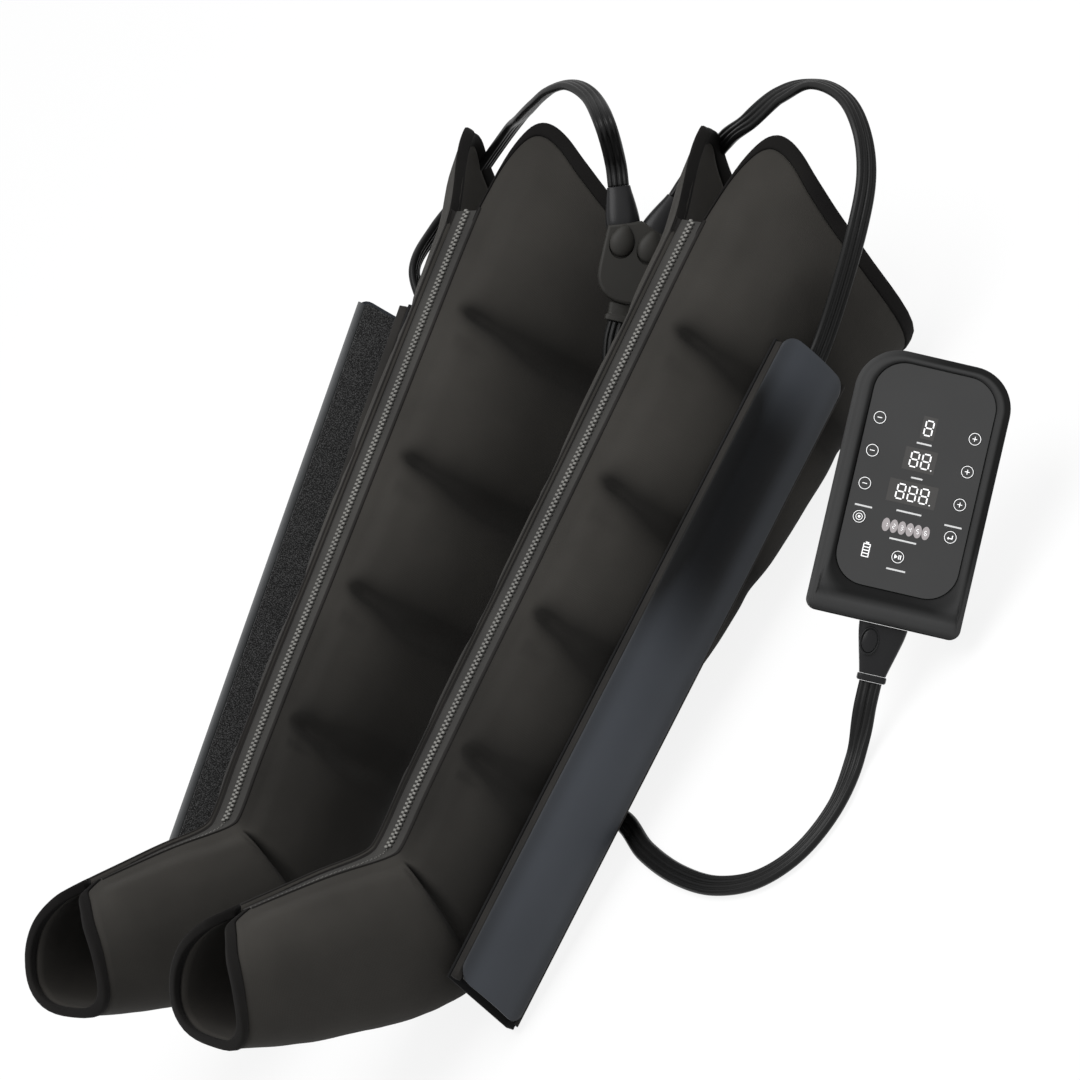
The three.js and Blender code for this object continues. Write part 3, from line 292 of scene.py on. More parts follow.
# The view: a long lens far off, turned with the photograph's frame; one large lamp overhead and even light.
EYE = Vector((5.027409, -1.481176, 3.437413)) + SET_SHIFT
VIEW_BACK = Vector((0.79612, -0.29002, 0.53112))
VIEW_RIGHT = Vector((0.60176, 0.47209, -0.64422))
VIEW_UP = Vector((-0.0639, 0.83248, 0.55036))
LENS = 239.893
LAMP_PLACE = Vector((0.2, 0.1, 2.6))
LAMP_SIZE = 2.2
LAMP_POWER = 60.0
SKY_LEVEL = 0.7
FLOOR_HALF = 9
FLOOR_WHITE = 0.87


def smooth(x, low, high):
    t = min(max((x - low) / (high - low), 0), 1)
    return t * t * (3 - 2 * t)


def mix(a, b, t):
    return a + (b - a) * t


def spline(values, at):
    last = len(values) - 1
    held = min(max(at, 0), last)
    i = min(int(held), last - 1)
    t = held - i
    p0, p1, p2, p3 = values[max(i - 1, 0)], values[i], values[i + 1], values[min(i + 2, last)]
    lower = 2 * p1 + (p2 - p0) * t + (2 * p0 - 5 * p1 + 4 * p2 - p3) * t * t
    return (lower + (3 * p1 - p0 - 3 * p2 + p3) * t ** 3) / 2


def slit_angle(at):
    half = spline(STATION_TABLE[4], at)
    width = mix(TOE_SLIT_HALF, LEG_SLIT_HALF, smooth(at, 1, 6))
    return math.asin(width / (half * (1 - EGG_SHARE)))


def seam_share(at, share):
    """How much of a seam's depth a place has: sharp at its start, then wide, with a faint second fold below."""
    seam = 0
    spread = CREASE_SPREAD * mix(0.36, 1.35, smooth(share, SEAM_START, 0.34))
    bend = 0.06 - 0.5 * max(share - SEAM_START, 0) ** 1.3 * (1 - smooth(share, 0.3, 0.6))
    for crease in CREASES:
        bent = crease + (bend if crease > 6 else 0)
        away = 2 * (at - bent) / spread
        lip = 2.6 * (at - bent + 0.36) / spread
        second = 0.22 * smooth(share, 0.09, 0.13) * (1 - smooth(share, 0.2, 0.34)) / (1 + lip * lip)
        seam = max(seam, 1 / (1 + away * away), second)
    return seam


def swelling(at, share, late):
    """How far a chamber stands out, and how deep the seams draw it in; it starts late on the open lobe's side."""
    opening = smooth(share, 0.07, 0.17) if late else smooth(share, 0.065, 0.16)
    back = 1 - 0.8 * smooth(share, 0.35, 0.7)
    puff, depth = SIZES["puff"], SIZES["crease_depth"]
    return (puff - (puff + depth) * seam_share(at, share)) * opening * back


def boot_point(at, share, inset, puffed=False, late=False):
    """A point of a left boot in its own frame; the share runs from the slit to the back."""
    fy, fz, by, bz, half = (spline(values, at) for values in STATION_TABLE)
    slit = slit_angle(at)
    turn = slit + (math.pi - slit) * abs(share)
    reach = math.hypot(fy - by, fz - bz) / 2
    dy, dz = (fy - by) / 2 / reach, (fz - bz) / 2 / reach
    grow = (swelling(at, abs(share), late) if puffed else 0) - inset
    full = 1 + FULL_BACK_SHARE * math.sin(2 * turn) ** 2 if turn > math.pi / 2 else 1
    side = math.sin(turn) * (half + grow) * (1 - EGG_SHARE * math.cos(turn)) * full
    lift = math.cos(turn) * (reach + grow) * full
    return Vector((math.copysign(side, math.copysign(1, share)), (fy + by) / 2 + dy * lift, (fz + bz) / 2 + dz * lift))


def rim_station(column):
    at = RIM_BLEND
    share, target = spline(COLUMNS, column), spline(RIM, column) * SPAN
    for _ in range(40):
        at += (target - boot_point(at, share, 0).y) / (SPAN * 0.11)
    return min(at, TOP_STATION)


# The rim's station at every column, worked out once, with steps between the columns.
RIM_STATIONS = [rim_station(i / BINDING_STEPS) for i in range(LAST_COLUMN * BINDING_STEPS + 1)]


def rim_at(column, late=False):
    """The rim's station; the open lobe is a little fuller."""
    fuller = LOBE_RISE * smooth(column, 3.8, 6) * (1 - smooth(column, 6.8, 9.8)) if late else 0
    return spline(RIM_STATIONS, column * BINDING_STEPS) + fuller


def row_station(nominal, column, late):
    if nominal < TOE_BLEND:
        start = spline(TOE, column) + TOE_TRIM
        return start + nominal / TOE_BLEND * (TOE_BLEND - start)
    if nominal > RIM_BLEND:
        end = rim_at(column, late) - RIM_TRIM
        return RIM_BLEND + (nominal - RIM_BLEND) / (TOP_STATION - RIM_BLEND) * (end - RIM_BLEND)
    return nominal


def column_point(side, sign, column, at, inset, puffed=False):
    """A point of one column of a boot; the lobe that faces -X falls open a little."""
    share, late = max(spline(COLUMNS, column), 0), sign * side < 0
    p = boot_point(at, math.copysign(share, sign), inset, puffed, late)
    if late:
        p.x += sign * LOBE_FLARE * (smooth(at, *LOBE_FALL) * (1 - smooth(share, 0.15, 0.5)))
    return p


def boot_matrix(side):
    place = Matrix.Translation(SET_SHIFT + Vector((side * BOOT_SPACING / 2, 0, 0)))
    return place @ Matrix.Rotation(-side * BOOT_SPLAY, 4, "Z")


def from_boot(side, p):
    return boot_matrix(side) @ Vector((p.x * side, p.y, p.z))


def basis(x, y, z, origin):
    made = Matrix.Identity(4)
    for k, v in enumerate((x, y, z, origin)):
        made.col[k][:3] = v
    return made


def channel_frame(name, side):
    """A channel's axes on a boot of one side: up the leg, across to the free edge, and outwards."""
    spec = CHANNELS[name]
    top, bottom = (Vector((spec[end][0] * side, *spec[end][1:])) for end in ("top", "bottom"))
    up = (top - bottom).normalized()
    across = Vector((spec["across"][0] * side, 0, spec["across"][1]))
    across = (across - up * across.dot(up)).normalized()
    return {"origin": bottom, "up": up, "across": across, "outward": (up.cross(across) * side).normalized(),
            "length": (top - bottom).length, "slant": spec["slant"]}


CHANNEL_FRAMES = {name: channel_frame(name, 1) for name in SIDES}


def channel_matrix(name, slanted=True):
    """Row-frame matrix of a channel: across to the free edge, up, and inwards from the flap's face."""
    side = SIDES[name]
    f = channel_frame(name, side)
    x = f["across"] + f["up"] * (f["slant"] if slanted else 0)
    return boot_matrix(side) @ basis(x, f["up"], -f["outward"], f["origin"])


def flap_matrix(name):
    """The channel's matrix turned with the open flap about its hinge."""
    side = SIDES[name]
    f = channel_frame(name, side)
    pivot = f["origin"] - f["outward"] * FLAP_THICKNESS
    turn = Matrix.Rotation(side * CHANNELS[name]["open"], 4, f["up"])
    turn = Matrix.Translation(pivot) @ turn @ Matrix.Translation(-pivot)
    return boot_matrix(side) @ turn @ boot_matrix(side).inverted() @ channel_matrix(name)


def facing_matrix(centre, *local):
    """The frame of the pump and the splitter, which face the viewer; a spot on it may be given."""
    ca, sa, ce = math.cos(FACE_AZIMUTH), math.sin(FACE_AZIMUTH), math.cos(FACE_ELEVATION)
    out = Vector((sa * ce, -ca * ce, math.sin(FACE_ELEVATION)))
    flat = Vector((ca, sa, 0))
    right = flat * math.cos(FACE_ROLL) + out.cross(flat) * math.sin(FACE_ROLL)
    made = basis(right, out.cross(right), out, centre)
    return made @ Matrix.Translation(local) if local else made


def pressed(name, p):
    """A skin point of a boot pushed in behind its hose channel."""
    f = CHANNEL_FRAMES[name]
    away = p - f["origin"]
    across = away.dot(f["across"])
    up = away.dot(f["up"]) - across * f["slant"]
    beside = 1 - smooth(across, CHANNEL_WIDTH + PRESS_MARGIN, CHANNEL_WIDTH + PRESS_FADE)
    below = smooth(up, -2 * PRESS_FADE, -2 * PRESS_MARGIN)
    above = 1 - smooth(up, f["length"] + PRESS_MARGIN, f["length"] + PRESS_FADE)
    over = away.dot(f["outward"]) + CHANNEL_DEPTH + TOUCH_GAP + PRESS_ROOM
    return p - f["outward"] * max(over, 0) * beside * below * above


def linear(code):
    """A colour written as six hex digits, as the shader's linear values; a list of values stays as it is."""
    if not isinstance(code, str):
        return list(code)
    shares = [int(code[i:i + 2], 16) / 255 for i in (0, 2, 4)]
    return [x / 12.92 if x <= 0.04045 else ((x + 0.055) / 1.055) ** 2.4 for x in shares] + [1]


def darker(colour, share=0.8):
    return [c * share for c in colour[:3]] + [1]


def finished(name, bm, looks, sharp=0.0):
    """Makes an object of a bmesh, smooth but for edges sharper than the angle given in degrees."""
    for face in bm.faces:
        face.smooth = True
    if sharp:
        for edge in bm.edges:
            if edge.is_manifold and edge.calc_face_angle() > math.radians(sharp):
                edge.smooth = False
    mesh = bpy.data.meshes.new(name)
    bm.to_mesh(mesh)
    bm.free()
    obj = bpy.data.objects.new(name, mesh)
    bpy.context.scene.collection.objects.link(obj)
    for look in looks:
        mesh.materials.append(LOOKS[look])
    return obj


def placed(obj, slot, body=MAIN, *nodes):
    """Gives a piece its body, and lets it stand for CAD nodes; the slot argument is not used."""
    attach(obj, body)
    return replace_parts(obj, *nodes) if nodes else obj


def changed(obj, name, kind, **settings):
    made = obj.modifiers.new(name, kind)
    for key, value in settings.items():
        setattr(made, key, value)


def walled(obj, thickness, **settings):
    changed(obj, "wall", "SOLIDIFY", thickness=thickness, offset=-1, **settings)


def rounded(obj, width, segments=2):
    changed(obj, "rounded", "BEVEL", width=width, segments=segments, limit_method="ANGLE", angle_limit=math.radians(50))


def laid_grid(across, along, place, size=(1.0, 1.0), closed=False, capped=False, turned=False, shade_share=None):
    """A grid laid over a form: place(i, j) gives each point, size the cloth's width and length, and the shade function
    each point's painted shade.
    """
    bm = bmesh.new()
    bmesh.ops.create_grid(bm, x_segments=across, y_segments=along, size=0.5)
    painted_shade = bm.verts.layers.float.new("painted_shade") if shade_share else None
    layer = bm.loops.layers.uv.new("UVMap")
    for face in bm.faces:
        for loop in face.loops:
            loop[layer].uv = ((loop.vert.co.x + 0.5) * size[0], (loop.vert.co.y + 0.5) * size[1])
    for vert in bm.verts:
        spot = round((vert.co.x + 0.5) * across), round((vert.co.y + 0.5) * along)
        if shade_share:
            vert[painted_shade] = shade_share(*spot)
        vert.co = place(*spot)
    if closed:
        bmesh.ops.remove_doubles(bm, verts=bm.verts, dist=1e-6)
    if capped:
        bmesh.ops.holes_fill(bm, edges=[e for e in bm.edges if e.is_boundary], sides=0)
        bmesh.ops.recalc_face_normals(bm, faces=bm.faces)
    elif turned:
        bmesh.ops.reverse_faces(bm, faces=bm.faces)
    return bm


def swept(section, steps, point, size):
    """A closed section carried along: point(place of the section, step) gives each point."""
    return laid_grid(len(section), steps, lambda i, j: point(section[i % len(section)], j), size, True, True)


def refined(node, look, bevel=0.0004, segments=2, sharp=35):
    """A copy of a CAD node with its flat faces joined and its edges rounded, which stands for it."""
    bm = bmesh.new()
    bm.from_mesh(frame["nodes"][node].data)
    bmesh.ops.remove_doubles(bm, verts=bm.verts, dist=1e-5)
    bmesh.ops.dissolve_limit(bm, angle_limit=math.radians(1), verts=bm.verts, edges=bm.edges)
    edges = [e for e in bm.edges if e.is_manifold and e.calc_face_angle() > math.radians(sharp)]
    bmesh.ops.bevel(bm, geom=edges, offset=bevel, segments=segments, profile=0.5, affect="EDGES", material=-1,
                    clamp_overlap=True)
    obj = finished(node + "_finish", bm, [look], 60)
    changed(obj, "even", "WEIGHTED_NORMAL", keep_sharp=True)
    return placed(obj, SLOTS[look], frame["nodes"][node]["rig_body"], node)


class Nodes:
    """A material's node tree, with short calls to add and join nodes."""

    def __init__(self, name, colour, rough, **sockets):
        self.material = bpy.data.materials.new(name)
        self.material.use_nodes = True
        self.tree = self.material.node_tree
        self.tree.nodes.clear()
        self.shader = self.add("ShaderNodeBsdfPrincipled", Base_Color=colour, Roughness=rough, **sockets)
        self.output = self.add("ShaderNodeOutputMaterial")
        self.join(self.shader, "BSDF", self.output, "Surface")

    def add(self, kind, **settings):
        node = self.tree.nodes.new(kind)
        for key, value in settings.items():
            socket = key if key in node.inputs else key.replace("_", " ")
            if socket in node.inputs:
                node.inputs[socket].default_value = value
            else:
                setattr(node, key, value)
        return node

    def join(self, a, out, b, into):
        self.tree.links.new(a.outputs[out], b.inputs[into])

    def noise(self, scale, detail=3.0, stretch=(1, 1, 1), kind="Object"):
        mapping = self.coordinates(stretch, kind)
        node = self.add("ShaderNodeTexNoise", Scale=scale, Detail=detail)
        self.join(mapping, "Vector", node, "Vector")
        return node

    def coordinates(self, scale, kind="Object"):
        mapping = self.add("ShaderNodeMapping", Scale=scale)
        self.join(self.add("ShaderNodeTexCoord"), kind, mapping, "Vector")
        return mapping

    def colour_from(self, source, low, high, a, b, shade_share=1.0):
        """The colour by a texture between two stops, darkened by the painted shade that the mesh carries, down to the
        given share.
        """
        ramp = self.add("ShaderNodeValToRGB")
        for stop, colour, place in zip(ramp.color_ramp.elements, (low, high), (a, b)):
            stop.color, stop.position = linear(colour), place
        self.join(source, "Fac", ramp, "Fac")
        self.join(ramp, "Color", self.shader, "Base Color")
        if shade_share < 1:
            painted_shade = self.add("ShaderNodeAttribute", attribute_name="painted_shade")
            dark = self.add("ShaderNodeMix", data_type="RGBA", blend_type="MULTIPLY")
            dark.inputs[7].default_value = (shade_share, shade_share, shade_share, 1)
            self.join(painted_shade, "Fac", dark, 0)
            self.join(ramp, "Color", dark, 6)
            self.join(dark, 2, self.shader, "Base Color")

    def rough_from(self, source, low, high):
        spread = self.add("ShaderNodeMapRange", To_Min=low, To_Max=high)
        self.join(source, "Fac", spread, "Value")
        self.join(spread, "Result", self.shader, "Roughness")

    def bump(self, source, out, distance, strength=1.0, under=None):
        node = self.add("ShaderNodeBump", Distance=distance, Strength=strength)
        self.join(source, out, node, "Height")
        if under:
            self.join(under, "Normal", node, "Normal")
        self.join(node, "Normal", self.shader, "Normal")
        return node


def cloth(name, low, high, rough, thread, depth=0.0001, mottle=14.0, gloss=0.12, shade_share=1.0):
    """Woven cloth: two crossed sets of threads over a soft mottling, with painted shade where the mesh carries it,
    deepest in the boots' seams where the cloth is drawn in.
    """
    made = Nodes(name, linear(high), rough, Sheen_Weight=0.02, Sheen_Roughness=0.5, Specular_IOR_Level=gloss)
    cloud = made.noise(mottle, 4.0)
    made.colour_from(cloud, low, high, 0.3, 0.7, shade_share)
    mapping = made.coordinates((1, 1, 1), "UV")
    woven = made.add("ShaderNodeMath", operation="MULTIPLY")
    for k, way in enumerate("XY"):
        threads = made.add("ShaderNodeTexWave", Scale=thread, bands_direction=way, Distortion=0.4)
        made.join(mapping, "Vector", threads, "Vector")
        made.join(threads, "Fac", woven, k)
    soft = made.bump(cloud, "Fac", 0.0008, 0.35)
    made.bump(woven, "Value", depth, 0.5, soft)
    return made.material


def pile(name, low, high, size):
    """Hook and loop pile: a dense speckle of small loops."""
    made = Nodes(name, linear(low), 0.95, Sheen_Weight=0.25, Specular_IOR_Level=0.2)
    loops = made.noise(size, 2.0)
    made.colour_from(loops, low, high, 0.45, 0.66)
    made.bump(loops, "Fac", 0.0012)
    return made.material


def moulded(name, low, high, rough, grain, depth=0.00004, gloss=0.25, spread=0.06, shade_share=1.0):
    """Moulded plastic: a fine even grain, with the gloss a little uneven, and painted shade where the mesh carries it.
    """
    made = Nodes(name, linear(high), rough, Specular_IOR_Level=gloss)
    cloud = made.noise(9.0)
    made.colour_from(cloud, low, high, 0.25, 0.75, shade_share)
    made.rough_from(cloud, rough - spread, rough + spread)
    made.bump(made.noise(grain, 2.0), "Fac", depth, 0.6)
    return made.material


def metal(name, colour, rough=0.35):
    made = Nodes(name, linear(colour), rough, Metallic=1.0)
    brushed = made.noise(260.0, 2.0, (1, 14, 1))
    made.rough_from(brushed, rough - 0.08, rough + 0.1)
    made.bump(brushed, "Fac", 0.00002, 0.4)
    return made.material


# Print with a faint glow: painted brightness on print, which gives no light of its own.
def printed(name, colour, glow):
    made = Nodes(name, linear(colour), 0.5, Emission_Strength=glow, Emission_Color=linear(colour))
    grain = made.noise(900.0, 2.0)
    made.rough_from(grain, 0.42, 0.58)
    made.bump(grain, "Fac", 0.00001, 0.3)
    return made.material


LOOKS = {}
SLOTS = {
    "soft_rubber": "rubber", "slider_enamel": "metal", "plug_plastic": "plug", "splitter_plastic": "splitter",
    "pump_shell": "shell", "pump_rear": "shell", "pump_panel": "panel", "pump_key": "key", "screw_steel": "metal",
    "motor_steel": "metal", "board_coat": "board", "cell_wrap": "battery",
}


def make_looks(colours):
    """All finishes of the set, by their plain names."""
    boots, flaps, hoses, pump = colours.boots, colours.flaps, colours.hoses, colours.pump
    # The last value of boot_cloth, flap_satin and pump_shell is how dark their painted shade goes.
    for make, name, *values in (
        (cloth, "boot_cloth", darker(boots), boots, 0.85, 260.0, 0.00012, 14.0, 0.12, 0.3),
        (cloth, "lining_cloth", "292725", "312f2c", 0.85, 320.0),
        (cloth, "edge_binding", "151414", "1b1a19", 0.85, 420.0, 0.00012, 14.0, 0.04),
        (cloth, "dark_binding", "1a1918", "22201f", 0.8, 420.0),
        (cloth, "zip_tape", "2e2d2c", "393836", 0.8, 500.0, 0.00015),
        (cloth, "flap_satin", darker(flaps), flaps, 0.45, 700.0, 0.00004, 6.0, 0.15, 0.06),
        (cloth, "flap_strip", "201f1e", "2a2826", 0.8, 420.0),
        (cloth, "channel_cloth", "121212", "1a1a1b", 0.85, 320.0),
        (pile, "hook_pile", "0a0a0a", "4a4a4a", 900.0),
        (moulded, "grey_edge", "4a4b4c", "5c5d5e", 0.45, 1500.0),
        (moulded, "zip_teeth", "5f5e5b", "767571", 0.45, 2500.0),
        (moulded, "slider_enamel", "191919", "242424", 0.35, 1800.0),
        (moulded, "hose_vinyl", darker(hoses, 0.6), hoses, 0.36, 1100.0, 0.00002, 0.16),
        (moulded, "plug_plastic", "161617", "1d1d1e", 0.3, 1600.0, 0.00002, 0.16),
        (moulded, "splitter_plastic", "262523", "2e2d2a", 0.5, 1500.0, 0.00003, 0.15),
        (moulded, "soft_rubber", "151515", "1e1e1e", 0.7, 900.0, 0.00008),
        (moulded, "pump_shell", darker(pump), pump, 0.64, 2200.0, 0.00002, 0.06, 0.05, 0.25),
        (moulded, "pump_rear", "262626", "2e2e2e", 0.45, 1800.0),
        (moulded, "pump_panel", "393939", "3e3e3e", 0.38, 2600.0, 0.00001, 0.12),
        (moulded, "pump_key", "3b3b3b", "404040", 0.4, 2600.0, 0.00001, 0.12),
        (moulded, "display_window", "454443", "494847", 0.36, 2600.0, 0.00001, 0.12),
        (moulded, "board_coat", "1a4226", "235535", 0.5, 800.0),
        (moulded, "cell_wrap", "24427a", "2f54a0", 0.4, 900.0),
        (printed, "white_print", "f2f2f2", 0.35),
        (printed, "pale_print", "9d9798", 0.05),
        (printed, "grey_print", "c9c9c9", 0.1),
        (metal, "screw_steel", "8c8c8c"),
        (metal, "motor_steel", "9a9a9a"),
    ):
        LOOKS[name] = make(name, *values)


def cover_rows():
    """Rows of a boot's cover, closer together at the seams."""
    rows = {round(k * ROW_STEP, 3) for k in range(int(TOP_STATION / ROW_STEP) + 1)} | {0.0, float(TOP_STATION)}
    near = {round(c + s * d, 3) for c in CREASES for d in CREASE_STEPS for s in (-1, 1)}
    return sorted(near | {r for r in rows if all(abs(r - n) > ROW_ROOM for n in near)})


ROWS = cover_rows()


def column_at(i, steps=COLUMN_STEPS):
    """Column number and side of the i-th line round a boot."""
    half = LAST_COLUMN * steps
    return (i / steps, 1) if i <= half else ((2 * half - i) / steps, -1)


def ruffle(at, share, seed):
    """Soft unevenness of the filled cloth."""
    low = noise.noise(Vector((at * 0.9, share * 5, seed)))
    high = noise.noise(Vector((at * 2.6 + 7, share * 13, seed)))
    return 0.0011 * low + 0.00045 * high


def boot_cover(name):
    """The padded cover of one boot, drawn in at its seams, with painted shade in the seams and on the side turned from
    the lamp.
    """
    side = SIDES[name]

    def spot(i, j):
        column, sign = column_at(i)
        late = sign * side < 0
        return column, sign, late, row_station(ROWS[j], column, late), max(spline(COLUMNS, column), 0)

    def place(i, j):
        column, sign, _, at, share = spot(i, j)
        inner = smooth(ROWS[j], 0, 0.8) * (1 - smooth(ROWS[j], 16.2, TOP_STATION))
        uneven = ruffle(at, share * sign, side) * smooth(share, 0.03, 0.1)
        plain, filled, ruffled = (column_point(side, sign, column, at, *how) for how in ((0,), (0, True), (-uneven,)))
        return from_boot(side, pressed(name, plain + (filled - plain) * inner + (ruffled - plain) * inner))

    # Painted shade: deepest in the seams, on the side turned from the lamp, and darker over the lower leg and along the
    # zip.
    def shade_share(i, j):
        _, _, late, at, share = spot(i, j)
        opening = smooth(share, 0.12, 0.26) if late else smooth(share, 0.06, 0.13)
        start = 1 + 0.3 * (1 - smooth(share, 0.13, 0.22))
        low_leg = (0.62 - 0.15 * smooth(share, 0.1, 0.3)) * smooth(at, 4.8, 6.2) * (1 - smooth(at, 8.4, 12.2))
        turned = 0.35 * smooth(share, 0.12, 0.42) * (1 - smooth(at, 15, 17))
        ridge = 0.18 * (1 - smooth(share, 0.1, 0.24)) * smooth(at, 6, 8)
        return min(seam_share(at, share) * opening * start, 1) + low_leg + turned + ridge

    across = 2 * LAST_COLUMN * COLUMN_STEPS
    bm = laid_grid(across, len(ROWS) - 1, place, COVER_CLOTH, turned=side < 0, shade_share=shade_share)
    obj = finished(f"{name}_boot_cover", bm, ["boot_cloth", "lining_cloth"])
    walled(obj, COVER_WALL, material_offset=1, material_offset_rim=0)
    return placed(obj, "fabric", MAIN, f"{name}_boot_shell")


def boot_binding(name, end):
    """The bound edge of a boot, at its top or its toe."""
    side, top = SIDES[name], end == "top"
    run = BINDING_WIDTH / TOP_PITCH if top else TOE_BINDING_WIDTH / TOE_PITCH
    depth = BINDING_DEPTH if top else COVER_WALL

    def point(spot, j):
        column, sign = column_at(j, BINDING_STEPS)
        rim = rim_at(column, sign * side < 0) if top else spline(TOE, column)
        back, deep, swell = spot
        inset = deep * depth + (swell if top or deep < 0.9 else swell * 0.15) * BINDING_SWELL
        return from_boot(side, column_point(side, sign, column, rim + (-1 if top else 1) * back * run, inset))

    bm = swept(BINDING_SECTION, 2 * LAST_COLUMN * BINDING_STEPS, point, (0.045, 0.6))
    return placed(finished(f"{name}_{end}_edging", bm, ["edge_binding"]), "binding", MAIN, f"{name}_{end}_binding")


def slit_stations(step=0.2):
    start, end = spline(TOE, 0) + TOE_TRIM, rim_at(0)
    count = int((end - start) / step)
    return [mix(start, end, k / count) for k in range(count + 1)]


def slit_welt(name, sign):
    """The dark bound edge along one side of the zipper slit."""
    side, stations = SIDES[name], slit_stations()
    outer = sign * side > 0

    def point(spot, j):
        at = stations[j]
        out, inset = spot
        width = mix(0.0035 if outer else 0.006, 0.009, smooth(at, 4.6, 6)) * smooth(at, -0.5, 1.2)
        edge = boot_point(at, math.copysign(0, sign), 0)
        half = math.hypot(edge.x, edge.z - spline(STATION_TABLE[3], at)) * math.pi
        p = boot_point(at, math.copysign(abs(out) * width / half, sign), inset)
        if out < 0:
            p.x -= sign * 2 * abs(p.x - math.copysign(edge.x, sign))
        if not outer:
            p.x += sign * LOBE_FLARE * smooth(at, *LOBE_FALL)
        return from_boot(side, p)

    bm = swept(WELT_SECTION, len(stations) - 1, point, SLIT_CLOTH)
    return placed(finished(f"{name}_slit_edging_{'outer' if outer else 'inner'}", bm, ["dark_binding"]), "binding")


def zip_tape(name):
    """The zipper's tape, dished a little between the slit's edges."""
    side, stations = SIDES[name], slit_stations()

    def place(i, j):
        top, low = (boot_point(stations[j], 0, inset) for inset in (TAPE_INSET, TAPE_INSET + TAPE_THICKNESS))
        u = i / TAPE_STEPS * 2 - 1
        depth = 0.25 + 0.3 * math.cos(u * math.pi / 2)
        return from_boot(side, Vector((u * (low.x - TAPE_MARGIN), mix(top.y, low.y, depth), mix(top.z, low.z, depth))))

    bm = laid_grid(TAPE_STEPS, len(stations) - 1, place, SLIT_CLOTH, turned=side < 0)
    obj = finished(f"{name}_zip_tape", bm, ["zip_tape"])
    walled(obj, TAPE_CLOTH)
    return placed(obj, "tape", MAIN, f"{name}_zipper_tape")


def zip_teeth(name):
    """Two staggered rows of moulded teeth on the leg, and a finer chain over the foot."""
    place = boot_matrix(SIDES[name])
    points = []
    for at in slit_stations(0.02):
        p = boot_point(at, 0, TAPE_INSET - TOOTH_SINK)
        out = boot_point(at, 0, -0.01) - boot_point(at, 0, 0)
        points.append((at, Vector((0, p.y, p.z)), Vector((0, out.y, out.z))))
    bm = bmesh.new()
    run, due, row = 0.0, 0.0, 0
    for (at, a, out), (_, b, _) in zip(points, points[1:]):
        along = (b - a).normalized()
        out = (out - along * out.dot(along)).normalized()
        leg = at > ANKLE_STATION
        shift, size = LEG_TOOTH if leg else FOOT_TOOTH
        while due < run + (b - a).length:
            spot = a + along * (due - run) + Vector((shift * (1 if row else -1), 0, 0)) + out * size[2] * 0.5
            here = basis(Vector((1, 0, 0)), along, out, spot)
            bmesh.ops.create_cube(bm, size=1, matrix=place @ here @ Matrix.Diagonal((*size, 1)))
            due += (SIZES["tooth_pitch"] if leg else FOOT_PITCH) / 2
            row = 1 - row
        run += (b - a).length
    bmesh.ops.bevel(bm, geom=bm.edges[:], offset=TOOTH_BEVEL, segments=1, profile=0.5, affect="EDGES", material=-1)
    bmesh.ops.recalc_face_normals(bm, faces=bm.faces)
    return placed(finished(f"{name}_zip_chain", bm, ["zip_teeth"], 50), "teeth", MAIN, f"{name}_zipper_teeth")


def corner_drop(x, width, radius):
    """How far a rounded corner cuts back the end of a panel at a place across it."""
    edge = min(x, width - x)
    return radius - math.sqrt(max(radius ** 2 - (radius - edge) ** 2, 0)) if edge < radius else 0


def corner_stops(width, radius, inner=8, curved=6):
    bend = [radius * (1 - math.cos(math.pi / 2 * k / curved)) for k in range(curved + 1)]
    middle = [mix(radius, width - radius, k / inner) for k in range(1, inner)]
    return bend + middle + [width - b for b in reversed(bend)]


def soft_panel(name, low, high, depth, radius, crown, rows, shade_share=None, turned=False):
    """A panel of a flap with rounded corners, bowed outwards across its width, with painted shade where a shade
    function is given.
    """
    matrix = flap_matrix(name)
    width, length = high[0] - low[0], high[1] - low[1]
    stops = corner_stops(width, radius)

    def place(i, j):
        x = stops[i]
        drop = corner_drop(x, width, radius)
        y = mix(low[1] + drop, high[1] - drop, j / rows)
        return matrix @ Vector((low[0] + x, y, depth - crown(x / width, (y - low[1]) / length)))

    painted_shade = (lambda i, j: shade_share(stops[i] / width, j / rows)) if shade_share else None
    return laid_grid(len(stops) - 1, rows, place, (width, length), turned=turned, shade_share=painted_shade)


def hose_cover(name):
    """The satin flap that covers the hose channel; the near one is bowed by the hose, with a dent. Its colour carries
    painted shade over that dent, along both long edges and towards the lower end, which leaves a painted highlight down
    the middle.
    """
    span, near = CHANNEL_FRAMES[name]["length"], name == "left"

    def dent(v):
        return smooth(v, 0.5, 0.68) * (1 - smooth(v, 0.86, 0.98))

    def crown(u, v):
        bow = FLAP_BOW[name] * max(math.sin(math.pi * u), 0) ** 0.75
        return bow * (1 - 0.35 * dent(v)) + 0.0003 * noise.noise(Vector((u * 3, v * 9, SIDES[name])))

    # Painted shade of the flap: over the near one's dent, at both long edges and towards the lower end.
    def shade_share(u, v):
        dent_shade = 0.95 * dent(v) * smooth(u, 0.02, 0.4) if near else 0
        return min(dent_shade + 0.45 * smooth(abs(u - 0.5), 0.26, 0.5) + 0.12 * smooth(v, 0.3, 0.0), 1)

    bm = soft_panel(name, (0, 0), (CHANNEL_WIDTH, span), FLAP_THICKNESS * 0.2, FLAP_CORNER, crown, 90, shade_share, near)
    obj = finished(f"{name}_hose_cover", bm, ["flap_satin", "flap_satin"])
    walled(obj, FLAP_CLOTH)
    rounded(obj, FLAP_ROUND, 3)
    placed(obj, "flap", f"{name}_flap", f"{name}_hose_cover_flap")
    return obj


